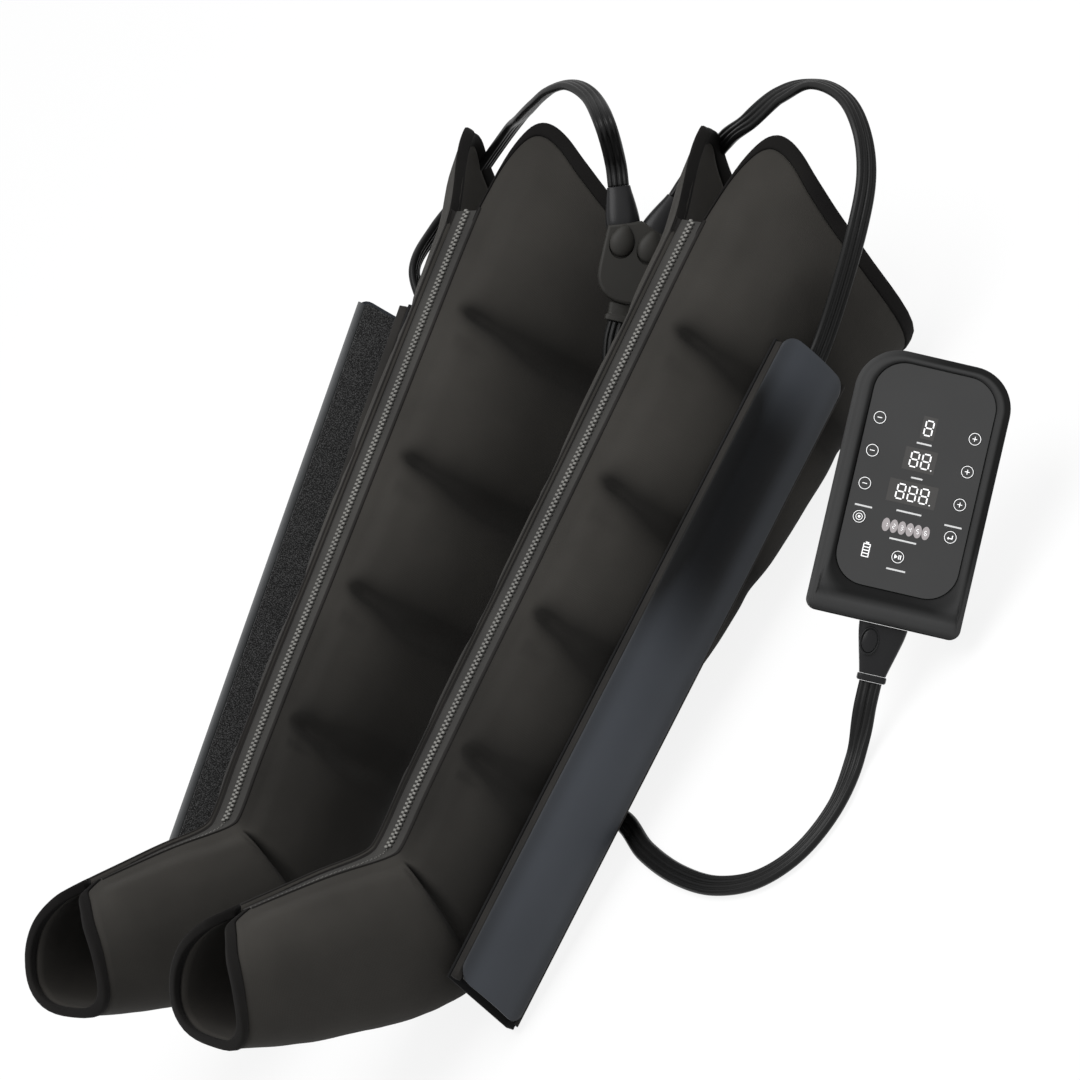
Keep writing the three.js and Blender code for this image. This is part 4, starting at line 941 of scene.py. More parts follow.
def hook_strip(name):
    """The hook strip on the inner side of the flap."""
    depth = FLAP_THICKNESS + TOUCH_GAP

    def crown(u, v):
        return 0.00012 * noise.noise(Vector((u * 9, v * 60, 3)))

    high = (CHANNEL_WIDTH - 0.007, CHANNEL_FRAMES[name]["length"] - 0.004)
    bm = soft_panel(name, (0.003, 0.002), high, depth, HOOK_CORNER, crown, 120, turned=name == "left")
    obj = finished(f"{name}_hook_strip", bm, ["hook_pile"])
    walled(obj, HOOK_THICKNESS)
    rounded(obj, HOOK_ROUND)
    return placed(obj, "hook", f"{name}_flap", f"{name}_flap_hook_strip")


def strip(name, piece, section, matrix, ends, width, look, sharp=0):
    """A strip of one section along a hose channel; each end is given from the channel's own end."""
    span = CHANNEL_FRAMES[name]["length"]

    def point(spot, j):
        return matrix @ Vector((spot[0], mix(ends[0], span + ends[1], j / STRIP_STEPS), spot[1]))

    return finished(f"{name}_{piece}", swept(section, STRIP_STEPS, point, (width, span)), [look], sharp)


def channel_back(name):
    """The back of the hose channel and the side wall that the flap is sewn to."""
    floor, back, wall = CHANNEL_TOP + TOUCH_GAP, CHANNEL_DEPTH, CHANNEL_WALL
    top = FLAP_THICKNESS + TOUCH_GAP
    middle, x = mix(top, floor, 0.5), CHANNEL_WIDTH
    section = [
        (0.0004, top), (0.0008, top), (wall - 0.0004, top), (wall, top + 0.0006), (wall, middle),
        (wall, floor - 0.0012), (wall + 0.0012, floor), (0.02, floor), (0.04, floor), (0.06, floor),
        (x + 0.0005, floor), (x + 0.001, floor + 0.0006), (x + 0.001, back - 0.0006), (x + 0.0005, back),
        (0.06, back), (0.04, back), (0.02, back), (0.0006, back), (0, back - 0.0006), (0, middle), (0, top + 0.0006),
    ]
    obj = strip(name, "channel_back", section, channel_matrix(name), (-0.003, -0.008), 0.15, "channel_cloth", 50)
    return placed(obj, "hook", MAIN, f"{name}_channel_base")


def channel_edging(name):
    """The stiff edging that the flap's free edge closes on."""
    low = FLAP_THICKNESS + (OPEN_EDGING_ROOM if CHANNELS[name]["open"] else TOUCH_GAP)
    high, x0, x1, r = CHANNEL_TOP, CHANNEL_WIDTH - 0.006, CHANNEL_WIDTH, 0.0012
    middle, c = mix(low, high, 0.5), 0.3 * r
    section = [
        (x0 + r, low), (x1 - r, low), (x1 - c, low + c), (x1, low + r), (x1, middle), (x1, high - r),
        (x1 - c, high - c), (x1 - r, high), (x0 + r, high), (x0 + c, high - c), (x0, high - r), (x0, middle),
        (x0, low + r), (x0 + c, low + c),
    ]
    obj = strip(name, "channel_edging", section, channel_matrix(name), (-0.001, -0.01), 0.03, "flap_strip")
    return placed(obj, "hook", MAIN, f"{name}_edge_strip")


def flap_fold(name):
    """The rolled fold along the sewn edge, round the line that the flap turns about."""
    turns = [2 * math.pi * i / FOLD_SIDES for i in range(FOLD_SIDES)]
    section = [(FOLD_RADIUS * math.cos(a), FLAP_THICKNESS + FOLD_RADIUS * math.sin(a)) for a in turns]
    obj = strip(name, "flap_fold", section, flap_matrix(name), (0.001, -0.001), 0.012, "flap_strip", 60)
    return placed(obj, "flap", f"{name}_flap")


def flap_edge_tape(name):
    """The smooth tape sewn along the free edge of the flap, on its inner side."""
    low, high = CHANNEL_WIDTH - 0.0065, CHANNEL_WIDTH + 0.0003
    top, under = FLAP_THICKNESS - 0.0004, FLAP_THICKNESS + 0.0012
    section = [(low, top), (low, under - 0.0003), (low + 0.0004, under), (mix(low, high, 0.5), under + 0.0004),
               (high - 0.0006, under), (high, under - 0.0006), (high, top - 0.0008), (high - 0.0006, top - 0.001)]
    obj = strip(name, "flap_edge_tape", section, flap_matrix(name), (0.006, -0.006), 0.02, "grey_edge", 60)
    return placed(obj, "flap", f"{name}_flap")


def curve_point(points, t):
    """A point of the centripetal curve through the points, as part of its run."""
    last = len(points) - 1
    p = last * t
    k = min(int(p), last - 1)
    w = p - k
    x1, x2 = points[k], points[k + 1]
    x0 = points[k - 1] if k > 0 else x1 * 2 - x2
    x3 = points[k + 2] if k + 2 <= last else x2 * 2 - x1
    d0, d1, d2 = (max((b - a).length ** 0.5, 1e-4) for a, b in ((x0, x1), (x1, x2), (x2, x3)))
    t1 = ((x1 - x0) / d0 - (x2 - x0) / (d0 + d1) + (x2 - x1) / d1) * d1
    t2 = ((x2 - x1) / d1 - (x3 - x1) / (d1 + d2) + (x3 - x2) / d2) * d1
    c2 = x2 * 3 - x1 * 3 - t1 * 2 - t2
    c3 = x1 * 2 - x2 * 2 + t1 + t2
    return x1 + t1 * w + c2 * w * w + c3 * w ** 3


def hose_section():
    """The flat hose's outline: rounded edges, and four round ribs on each broad face."""
    made = []
    half = HOSE_STEPS // 2
    for i in range(HOSE_STEPS):
        face = 1 if i < half else -1
        w = math.sin((2 * (i % half) / half - 1) * math.pi / 2)
        rib = 2 * ((w + 1) / 2 * HOSE_RIBS % 1) - 1
        height = (VALLEY + (1 - VALLEY) * math.sqrt(max(1 - rib * rib, 0))) * math.sqrt(1 - abs(w) ** 5)
        made.append((-face * w * HOSE_WIDTH / 2, face * height * HOSE_THICKNESS / 2))
    return made


def flat_hose(name, route, steps, from_boot_end):
    """A ribbed flat hose along a route of points and faces."""
    points, faces = [p for p, _ in route], [face.normalized() for _, face in route]
    centres, wides, norms = [], [], []
    for i in range(steps + 1):
        t = i / steps
        if i in (0, steps):
            tangent = (points[1] - points[0] if i == 0 else points[-1] - points[-2]).normalized()
        else:
            tangent = (curve_point(points, min(t + 1e-4, 1)) - curve_point(points, max(t - 1e-4, 0))).normalized()
        run = t * (len(route) - 1)
        k = min(int(run), len(route) - 2)
        face = faces[k].lerp(faces[k + 1], smooth(run - k, 0, 1))
        face = (face - tangent * face.dot(tangent)).normalized()
        centres.append(curve_point(points, t))
        wides.append(tangent.cross(face))
        norms.append(face)
    length = sum((b - a).length for a, b in zip(centres, centres[1:]))

    def point(spot, j):
        return centres[j] + wides[j] * spot[0] + norms[j] * spot[1]

    obj = finished(f"{name}_ribbed", swept(hose_section(), steps, point, (0.05, length)), ["hose_vinyl"])
    placed(obj, "hose", MAIN, name)
    path = [c for k, c in enumerate(centres) if k % 4 == 0 or k == steps]
    if from_boot_end:
        path.reverse()
    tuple(path[0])
    return obj


def shifted(rows):
    rows = [row if len(row) > 2 else (*row, FLOOR_Z, 0, 0, 1) for row in rows]
    return [(Vector(row[:3]) + SET_SHIFT, Vector(row[3:])) for row in rows]


def plug_matrix(sign):
    """The seat of a hose's plug on one slope of the splitter's gable."""
    rise = SPLITTER_HALF * math.tan(SPLITTER_LEAN)
    seat = Matrix.Translation((sign * PLUG_SPREAD, GABLE_EAVE + rise * (1 - PLUG_SPREAD / SPLITTER_HALF),
                               -SPLITTER_DEPTH / 2))
    return facing_matrix(SPLITTER_CENTRE) @ (seat @ Matrix.Rotation(-sign * SPLITTER_LEAN, 4, "Z"))


def pump_hose_route():
    """From the pump's plug over the floor and up between the boots to the splitter's tail."""
    pump, splitter = facing_matrix(PUMP_CENTRE), facing_matrix(SPLITTER_CENTRE)
    start = pump @ Vector((PLUG_SHIFT, -PUMP_HEIGHT / 2 - PLUG_RUN - COLLAR_RUN - TOUCH_GAP, -PUMP_DEPTH / 2))
    tail = splitter @ Vector((0, -SPLITTER_TAIL - TOUCH_GAP, -SPLITTER_DEPTH / 2))
    way, tail_way = (m.to_3x3() @ Vector((0, -1, 0)) for m in (pump, splitter))
    face = pump.to_3x3() @ Vector((0, 0, 1))
    return [(start, face), (start + way * HOSE_WIDTH, face), *shifted(PUMP_HOSE_POINTS),
            (tail + tail_way * HOSE_WIDTH, face), (tail, face)]


def boot_hose_route(name, points, extra):
    """From a plug of the splitter into the boot's channel, up to its inlet."""
    side, f = SIDES[name], channel_frame(name, SIDES[name])
    plug = plug_matrix(side)
    start, way = plug @ Vector((0, PLUG_LENGTH + TOUCH_GAP, 0)), (plug.to_3x3() @ Vector((0, 1, 0))).normalized()
    face = facing_matrix(SPLITTER_CENTRE).to_3x3() @ Vector((0, 0, 1))
    lane = CHANNEL_WIDTH * LANE_SHARE
    seat = FLAP_THICKNESS + HOOK_THICKNESS + TOUCH_GAP + LANE_DEPTH
    run = f["length"] - INLET_DROP + lane * f["slant"]
    turn = boot_matrix(side).to_3x3()
    up, out = turn @ f["up"], turn @ f["outward"]
    mouth = channel_matrix(name, slanted=False) @ Vector((lane, run + TOUCH_GAP, seat))
    ends = [(mouth + up * far, out) for far in (LANE_RUN, *extra, HOSE_WIDTH, 0)]
    return [(start, face), (start + way * HOSE_WIDTH, face), *shifted(points), *ends]


def rounded_body(node, matrix, rows, power, cross=0.0):
    """A plug of rounded sections that stands for a CAD node: each row has half width, half depth and place along."""
    turns = [2 * math.pi * i / PLUG_STEPS for i in range(PLUG_STEPS)]

    def point(a, j):
        width, depth, along = (spline([row[k] for row in rows], j / 4) for k in range(3))
        x = math.copysign(abs(math.cos(a)) ** power, math.cos(a)) * width
        z = math.copysign(abs(math.sin(a)) ** power, math.sin(a)) * depth
        return matrix @ Vector((cross + x, along, z))

    obj = finished(node + "_finish", swept(turns, len(rows) * 4 - 4, point, (0.1, 0.05)), ["plug_plastic"], 50)
    rounded(obj, PLUG_ROUND)
    return placed(obj, "plug", MAIN, node)


def splitter_plug(name):
    rows = [(0.0146, 0.0106, -0.004), (0.0152, 0.011, 0.0015), (0.0143, 0.0101, 0.0105), (0.0125, 0.0084, 0.021),
            (0.011, 0.0068, 0.0285), (0.0104, 0.0058, PLUG_LENGTH)]
    return rounded_body(f"{name}_hose_plug", plug_matrix(SIDES[name]), rows, 0.72)


def pump_plug():
    matrix = facing_matrix(PUMP_CENTRE, 0, -PUMP_HEIGHT / 2, -PUMP_DEPTH / 2)
    rows = [(0.0112, 0.0072, -PLUG_RUN), (0.0122, 0.0079, -0.0375), (0.0138, 0.0088, -0.031), (0.0166, 0.0101, -0.02),
            (0.0192, 0.0109, -0.009), (0.0205, 0.011, -TOUCH_GAP)]
    return rounded_body("pump_plug_body", matrix, rows, 0.5, PLUG_SHIFT)


def release_dome(name):
    """The drop-shaped button that frees a boot's plug from the splitter."""
    bm = bmesh.new()
    bmesh.ops.create_uvsphere(bm, u_segments=32, v_segments=20, radius=1)
    for vert in bm.verts:
        x, y, z = vert.co
        width = DOME_WIDTH * (1 - 0.22 * smooth(y, 0.1, 1))
        vert.co = (x * width, y * DOME_REACH[y <= 0], max(z, 0) ** 0.8 * DOME_HEIGHT + min(z, 0) * DOME_FOOT)
    place = facing_matrix(SPLITTER_CENTRE, SIDES[name] * DOME_PLACE[0], *DOME_PLACE[1:])
    bmesh.ops.transform(bm, matrix=place, verts=bm.verts)
    obj = finished(f"{name}_release_button_finish", bm, ["splitter_plastic"], 60)
    return placed(obj, "splitter", f"{name}_release", f"{name}_release_button")


def release_ring():
    """The raised oval rim round the release on the pump's plug."""
    steps, sides = 48, 10

    def place(i, j):
        a, b = 2 * math.pi * j / steps, 2 * math.pi * i / sides
        r = RING_RADIUS + RING_WIDTH * math.cos(b)
        p = Vector((r * math.cos(a), r * RING_STRETCH * math.sin(a), RING_RISE * math.sin(b)))
        return facing_matrix(PUMP_CENTRE) @ (Vector(RING_PLACE) + p)

    bm = laid_grid(sides, steps, place, (0.01, 0.05), closed=True)
    bmesh.ops.recalc_face_normals(bm, faces=bm.faces)
    return placed(finished("pump_plug_release_rim", bm, ["plug_plastic"]), "plug")


def rounded_outline(width, height, top, bottom, centre=(0.0, 0.0)):
    """A rectangle's outline with rounded corners and divided sides, from the lower right round to the left."""
    made = []
    for sx, sy, r, start in ((1, -1, bottom, -90), (1, 1, top, 0), (-1, 1, top, 90), (-1, -1, bottom, 180)):
        for k in range(CORNER_STEPS + 1):
            a = math.radians(start + 90 * k / CORNER_STEPS)
            made.append(Vector((centre[0] + sx * (width / 2 - r) + r * math.cos(a),
                                centre[1] + sy * (height / 2 - r) + r * math.sin(a))))
    full = []
    for a, b in zip(made, made[1:] + made[:1]):
        full.append(a)
        if (b - a).length > 0.02:
            full += [a.lerp(b, k / 12) for k in range(1, 12)]
    return full


def case_rings():
    """The case's rings, outwards from the panel's seat and back inside: outline, second outline, height, share."""
    panel = rounded_outline(*PANEL_SIZE, PANEL_CORNER, PANEL_CORNER, PANEL_MIDDLE)
    insets = [BEVEL * (1 - math.sin(math.pi / 2 * k / BEVEL_STEPS)) for k in range(BEVEL_STEPS + 1)] + [CASE_WALL]
    shell = {k: rounded_outline(PUMP_WIDTH - 2 * k, PUMP_HEIGHT - 2 * k, *(r - k for r in CASE_CORNERS))
             for k in insets}
    rings = [(panel, None, -PANEL_SEAT, 0), (panel, None, -0.0024, 0)]
    for k in range(GROOVE_STEPS + 1):
        a = math.pi / 2 * k / GROOVE_STEPS
        rings.append((panel, None, -FRAME_DIP - GROOVE_ROUND * (1 - math.sin(a)), GROOVE_ROUND * (1 - math.cos(a))))
    for k in range(1, FRAME_STEPS + 1):
        t = mix(0.1, 1, k / FRAME_STEPS)
        fall = (max(t - FRAME_CREST, 0) / (1 - FRAME_CREST)) ** 2
        rings.append((panel, shell[BEVEL], -(FRAME_DIP * max(1 - t / FRAME_CREST, 0) ** 2 + FRAME_FALL * fall), t))
    for k, inset in enumerate(insets[1:-1], 1):
        turn = 1 - math.cos(math.pi / 2 * k / BEVEL_STEPS)
        rings.append((shell[inset], None, -FRAME_FALL - (BEVEL - FRAME_FALL) * turn, 0))
    rings += [(shell[0.0], None, -depth, 0) for depth in (0.009, 0.016, 0.024, 0.032, 0.04)]
    rings += [(shell[CASE_WALL], None, -depth, 0) for depth in (0.04, 0.03, 0.02, 0.012, 0.0085)]
    return rings + [(panel, None, -0.0075, 0.0025), (panel, None, -0.0055, 0.0015), (panel, None, -PANEL_SEAT, 0)]


def pump_case():
    """The pump's front case: a rolled frame round the sunken panel, open at the back, with painted shade in the panel's
    groove, on the outer edge at the right and top, above the lip and along the bottom.
    """
    rings = case_rings()
    first = 3 + GROOVE_STEPS
    matrix, centre = facing_matrix(PUMP_CENTRE), Vector(PANEL_MIDDLE)

    def spot(i, j):
        base, other, z, t = rings[j]
        p = base[i % len(base)]
        return p, p.lerp(other[i % len(base)], t) if other else p, z, t

    def place(i, j):
        on_panel, p, z, t = spot(i, j)
        if t and not rings[j][1]:
            p = on_panel + (on_panel - centre).normalized() * t
        foot = p.y + PUMP_HEIGHT / 2
        if z > -0.005 and j < len(rings) - 6:
            under = LIP_ROUND - foot
            if under > 0:
                z -= (LIP_ROUND - math.sqrt(max(LIP_ROUND ** 2 - under ** 2, 0))) * 0.8
            z -= 0.0026 * smooth(foot, 0.01, 0.018) * (1 - smooth(foot, 0.019, 0.027))
        return matrix @ Vector((p.x, p.y, z))

    # Painted shade: in the groove on the panel's left and lower side, on the outer edge at the right and top, in the
    # crease above the lip and along the bottom edge.
    def shade_share(i, j):
        on_panel, p, _, _ = spot(i, j)
        facing = (on_panel - centre).normalized().dot(Vector((0.85, 0.5)))
        foot = p.y + PUMP_HEIGHT / 2
        across = 0 if j < first else min((j - first + 1) / FRAME_STEPS, 1)
        inner = (0.35 + 0.65 * smooth(-facing, -0.4, 0.5)) * (1 - smooth(across, 0.1, 0.5))
        outer = smooth(facing, -0.1, 0.6) * smooth(across, 0.55, 0.95)
        lip = 0.5 * smooth(foot, 0.0125, 0.0165) * (1 - smooth(foot, 0.0185, 0.024))
        return min(inner + outer + lip + 0.6 * (1 - smooth(foot, 0.001, 0.006)), 1)

    bm = laid_grid(len(rings[0][0]), len(rings) - 1, place, (0.7, 0.1), closed=True, shade_share=shade_share)
    bmesh.ops.recalc_face_normals(bm, faces=bm.faces)
    obj = finished("pump_front_case", bm, ["pump_shell"], 60)
    cuts = [port_cutter("socket_cut", SOCKET_CUT, 0, -PUMP_HEIGHT / 2, -PUMP_DEPTH / 2),
            port_cutter("charging_cut", CHARGING_CUT, -PUMP_WIDTH / 2, CHARGING_Y, -PUMP_DEPTH / 2)]
    for cutter in cuts:
        changed(obj, cutter.name, "BOOLEAN", object=cutter, solver="EXACT")
    made = bpy.data.meshes.new_from_object(obj.evaluated_get(bpy.context.evaluated_depsgraph_get()))
    obj.modifiers.clear()
    obj.data = made
    for cutter in cuts:
        bpy.data.objects.remove(cutter)
    return placed(obj, "shell", MAIN, "pump_front_housing")


def port_cutter(name, size, *at):
    bm = bmesh.new()
    bmesh.ops.create_cube(bm, size=1, matrix=facing_matrix(PUMP_CENTRE, *at) @ Matrix.Diagonal((*size, 1)))
    return finished(name, bm, [])


def flat_shape(bm, points, matrix, share=1.0):
    """A thin raised shape with the given outline, added to a bmesh."""
    face = bm.faces.new([bm.verts.new(matrix @ Vector((x, y, 0))) for x, y in points])
    lifted = bmesh.ops.extrude_face_region(bm, geom=[face])
    up = (matrix.to_3x3() @ Vector((0, 0, 1))).normalized() * SIZES["print_height"] * share
    bmesh.ops.translate(bm, verts=[v for v in lifted["geom"] if isinstance(v, bmesh.types.BMVert)], vec=up)


def ring_shape(bm, radius, width, matrix, sides=40):
    """A thin raised ring, added to a bmesh: an edge circle extruded over the ring's four sides."""
    circle = bmesh.ops.create_circle(bm, segments=sides, radius=radius - width, matrix=matrix)["verts"]
    edges = list({e for v in circle for e in v.link_edges})
    centre = matrix @ Vector()
    way = (matrix.to_3x3() @ Vector((0, 0, 1))).normalized()
    up = way * SIZES["print_height"]
    rims = set(circle)
    for grow, lift in ((0, up), (width, Vector()), (0, -up)):
        made = bmesh.ops.extrude_edge_only(bm, edges=edges)["geom"]
        edges = [g for g in made if isinstance(g, bmesh.types.BMEdge)]
        last = [g for g in made if isinstance(g, bmesh.types.BMVert)]
        for vert in last:
            flat = vert.co - centre
            flat -= way * flat.dot(way)
            vert.co += lift + flat.normalized() * grow
    rims |= set(last)
    bmesh.ops.bridge_loops(bm, edges=[e for e in bm.edges if e.is_boundary and rims & set(e.verts)])


def bar(x, y, width, height):
    w, h = width / 2, height / 2
    return [(x - w, y - h), (x + w, y - h), (x + w, y + h), (x - w, y + h)]


def disc(x, y, rx, ry, sides=20):
    turns = [2 * math.pi * k / sides for k in range(sides)]
    return [(x + rx * math.cos(a), y + ry * math.sin(a)) for a in turns]


KEY_SIGNS = {
    "minus": [bar(0, 0, 0.004, 0.00062)],
    "plus": [bar(0, 0, 0.004, 0.00062), bar(0, 0.00117, 0.00062, 0.0017), bar(0, -0.00117, 0.00062, 0.0017)],
    "portion": [disc(0, 0, 0.0011, 0.0011)],
    "confirm": [bar(0.0003, -0.0011, 0.0036, 0.0008), bar(0.0017, 0.0005, 0.0008, 0.0024),
                [(-0.0026, -0.0011), (-0.0012, -0.0024), (-0.0012, 0.0002)]],
    "play": [[(-0.0028, -0.0019), (-0.0001, 0), (-0.0028, 0.0019)], bar(0.0009, 0, 0.0008, 0.0036),
             bar(0.0024, 0, 0.0008, 0.0036)],
}


def key_mark(name):
    """The printed ring and symbol on one key."""
    x, y, kind = KEYS[name]
    place = facing_matrix(PUMP_CENTRE, x, y, KEY_TOP)
    bm = bmesh.new()
    ring_shape(bm, *KEY_RING, place)
    if kind == "portion":
        ring_shape(bm, *PORTION_RING, place)
    for points in KEY_SIGNS[kind]:
        flat_shape(bm, points, place)
    return print_piece(f"{name}_mark", bm, "white_print", "key", f"{name}_button")


def print_piece(name, bm, look, slot, body):
    bmesh.ops.recalc_face_normals(bm, faces=bm.faces)
    return placed(finished(name, bm, [look], 30), slot, body)


def digit(bm, x, y, matrix, width=0.0064, height=0.0122, stroke=0.0013, lean=0.06, figure=8):
    """A figure of seven segments."""
    half, quarter = height / 2, height / 4
    lit = FIGURES[figure]
    for k, dy in enumerate((-half, 0, half)):
        if str(k) in lit:
            flat_shape(bm, bar(x + dy * lean, y + dy, width - stroke * 1.2, stroke * 0.85), matrix)
    for k, (sx, sy) in enumerate(((-1, -1), (-1, 1), (1, -1), (1, 1))):
        if str(k + 3) in lit:
            cx = x + sx * width / 2 + sy * quarter * lean
            flat_shape(bm, bar(cx, y + sy * quarter, stroke * 0.9, half - stroke * 1.15), matrix)


def panel_marks():
    """The figures, plain bars, chamber lamps and charge sign of the panel."""
    place = facing_matrix(PUMP_CENTRE, 0, 0, PANEL_TOP)
    lifted = place @ Matrix.Translation((0, 0, FIGURE_LIFT))
    looks = {"display_windows": "display_window", "display_figures": "white_print", "label_bars": "grey_print",
             "chamber_lamps": "pale_print", "chamber_rings": "white_print", "charge_sign": "white_print"}
    windows, figures, bars, lamps, dots, charge = made = [bmesh.new() for _ in looks]
    for spot in WINDOWS:
        flat_shape(windows, bar(*spot), place, 0.6)
    for x, y in FIGURE_SPOTS:
        digit(figures, x, y, lifted)
    for x, y in POINT_SPOTS:
        flat_shape(figures, disc(x, y, 0.0006, 0.0006, 10), lifted)
    for x, y, width in LABEL_BARS:
        flat_shape(bars, bar(x, y, width, LABEL_HEIGHT), place)
    middle, row, pitch = LAMP_ROW
    for k in range(6):
        x = middle + (k - 2.5) * pitch
        flat_shape(lamps, disc(x, row, 0.0033, 0.0056, 28), place)
        digit(dots, x, row, lifted @ Matrix.Translation((0, 0, 0.0001)), 0.0019, 0.0036, 0.0006, 0.0, k + 1)
    at = place @ Matrix.Translation((*CHARGE_SIGN, 0))
    for dy in (-0.0052, -0.0026, 0, 0.0026, 0.0052):
        flat_shape(charge, bar(0, dy, 0.0062, 0.0008), at)
    for sx in (-1, 1):
        for dy in (-0.0039, -0.0013, 0.0013, 0.0039):
            flat_shape(charge, bar(sx * 0.0027, dy, 0.0008, 0.0016), at)
    flat_shape(charge, bar(0, 0.0064, 0.0028, 0.0011), at)
    for (name, look), bm in zip(looks.items(), made):
        print_piece(name, bm, look, "panel", MAIN)


def direct_share(tree):
    """The share of a ray that comes from the camera, a mirror or a clear piece, and so sees plain white."""
    rays = tree.nodes.new("ShaderNodeLightPath")
    total = rays.outputs["Is Camera Ray"]
    for kind in ("Is Glossy Ray", "Is Transmission Ray"):
        either = tree.nodes.new("ShaderNodeMath")
        either.operation = "MAXIMUM"
        tree.links.new(total, either.inputs[0])
        tree.links.new(rays.outputs[kind], either.inputs[1])
        total = either.outputs[0]
    return total


def mixed(tree, share, first, second, output):
    blend = tree.nodes.new("ShaderNodeMixShader")
    for k, socket in enumerate((share, first.outputs[0], second.outputs[0])):
        tree.links.new(socket, blend.inputs[k])
    tree.links.new(blend.outputs[0], output.inputs["Surface"])


def stage_floor():
    bm = bmesh.new()
    bmesh.ops.create_grid(bm, x_segments=1, y_segments=1, size=FLOOR_HALF)
    made = Nodes("floor_paint", (0.86, 0.86, 0.86, 1), 0.7, Specular_IOR_Level=0.2)
    seen = made.add("ShaderNodeEmission", Color=(1, 1, 1, 1), Strength=1.0)
    share = made.add("ShaderNodeMath", operation="MULTIPLY")
    share.inputs[1].default_value = FLOOR_WHITE
    made.tree.links.new(direct_share(made.tree), share.inputs[0])
    mixed(made.tree, share.outputs[0], made.shader, seen, made.output)
    LOOKS["floor_paint"] = made.material
    finished("floor", bm, ["floor_paint"])


def stage_world(strength):
    world = bpy.data.worlds.new("studio")
    bpy.context.scene.world = world
    world.use_nodes = True
    tree = world.node_tree
    tree.nodes.clear()
    lit, seen = (tree.nodes.new("ShaderNodeBackground") for _ in range(2))
    lit.inputs["Color"].default_value = (0.98, 0.99, 1, 1)
    lit.inputs["Strength"].default_value = strength
    seen.inputs["Color"].default_value = (1, 1, 1, 1)
    mixed(tree, direct_share(tree), lit, seen, tree.nodes.new("ShaderNodeOutputWorld"))


def stage_lamp(power):
    """The large round lamp overhead, aimed at the middle of the set."""
    light = bpy.data.lights.new("overhead", "AREA")
    light.shape = "DISK"
    light.size = LAMP_SIZE
    light.energy = power
    obj = bpy.data.objects.new("overhead", light)
    bpy.context.scene.collection.objects.link(obj)
    obj.location = LAMP_PLACE
    obj.rotation_mode = "QUATERNION"
    obj.rotation_quaternion = (-LAMP_PLACE).to_track_quat("-Z", "Y")


def stage_camera():
    data = bpy.data.cameras.new("view")
    data.lens = LENS
    data.sensor_width = 36
    data.clip_start, data.clip_end = 0.1, 60
    obj = bpy.data.objects.new("view", data)
    bpy.context.scene.collection.objects.link(obj)
    obj.matrix_world = basis(VIEW_RIGHT, VIEW_UP, VIEW_BACK, EYE)
    bpy.context.scene.camera = obj


def dress(node, look):
    """Gives a CAD node its finish; its shape stays."""
    obj = frame["nodes"][node]
    if not obj.material_slots:
        obj.data.materials.append(LOOKS[look])
    obj.material_slots[0].material = LOOKS[look]


INNER_PARTS = {
    "display_module": "soft_rubber", "main_board": "board_coat", "battery_pack": "cell_wrap",
    "air_pump_motor": "motor_steel", "air_pump_head": "soft_rubber", "valve_manifold": "soft_rubber",
    "hose_socket": "soft_rubber", "charging_socket": "soft_rubber",
}


class TherapySetSizes(bpy.types.PropertyGroup):
    """Sizes of the set's dressing that a user may change."""

    puff: bpy.props.FloatProperty(
        name="Chamber swell", description="How far each chamber of a boot stands out", default=SIZES["puff"],
        min=0, max=0.012, unit="LENGTH")
    crease_depth: bpy.props.FloatProperty(
        name="Seam depth", description="How deep each seam draws the cloth in", default=SIZES["crease_depth"],
        min=0, max=0.012, unit="LENGTH")
    tooth_pitch: bpy.props.FloatProperty(
        name="Tooth pitch", description="Distance between two teeth of one row on the leg",
        default=SIZES["tooth_pitch"], min=0.003, max=0.008, unit="LENGTH")
    print_height: bpy.props.FloatProperty(
        name="Print height", description="How far the printed signs stand up", default=SIZES["print_height"],
        min=0.00005, max=0.0004, unit="LENGTH")


class TherapySetColours(bpy.types.PropertyGroup):
    """Colours of the set's main finishes."""

    boots: bpy.props.FloatVectorProperty(
        name="Boots", description="Colour of the boots' cloth", subtype="COLOR", size=4, min=0, max=1,
        default=linear("363431"))
    flaps: bpy.props.FloatVectorProperty(
        name="Hose covers", description="Colour of the satin hose covers", subtype="COLOR", size=4, min=0, max=1,
        default=linear("3c3f44"))
    hoses: bpy.props.FloatVectorProperty(
        name="Hoses", description="Colour of the ribbed hoses", subtype="COLOR", size=4, min=0, max=1,
        default=linear("161616"))
    pump: bpy.props.FloatVectorProperty(
        name="Pump", description="Colour of the pump's case", subtype="COLOR", size=4, min=0, max=1,
        default=linear("3c3c3c"))


class TherapySetStudio(bpy.types.PropertyGroup):
    """Light and view of the studio."""

    lamp_power: bpy.props.FloatProperty(
        name="Lamp power", description="Power of the large lamp overhead", default=LAMP_POWER, min=0, max=500,
        unit="POWER")
    sky: bpy.props.FloatProperty(
        name="Even light", description="Strength of the even light from all sides", default=SKY_LEVEL, min=0, max=2,
        subtype="FACTOR")


def take_sizes(context):
    """Reads the sizes that a user may have changed."""
    for name in SIZES:
        SIZES[name] = getattr(context.scene.therapy_sizes, name)


class THERAPY_OT_studio(bpy.types.Operator):
    """Sets the floor, light and camera"""

    bl_idname = "therapy.studio"
    bl_label = "Studio"

    def execute(self, context):
        context.scene.view_settings.view_transform = "Standard"
        stage_floor()
        stage_world(context.scene.therapy_studio.sky)
        stage_lamp(context.scene.therapy_studio.lamp_power)
        stage_camera()
        return {"FINISHED"}


class THERAPY_OT_finishes(bpy.types.Operator):
    """Makes every material of the set"""

    bl_idname = "therapy.finishes"
    bl_label = "Finishes"

    def execute(self, context):
        make_looks(context.scene.therapy_colours)
        for node, look in INNER_PARTS.items():
            dress(node, look)
        return {"FINISHED"}


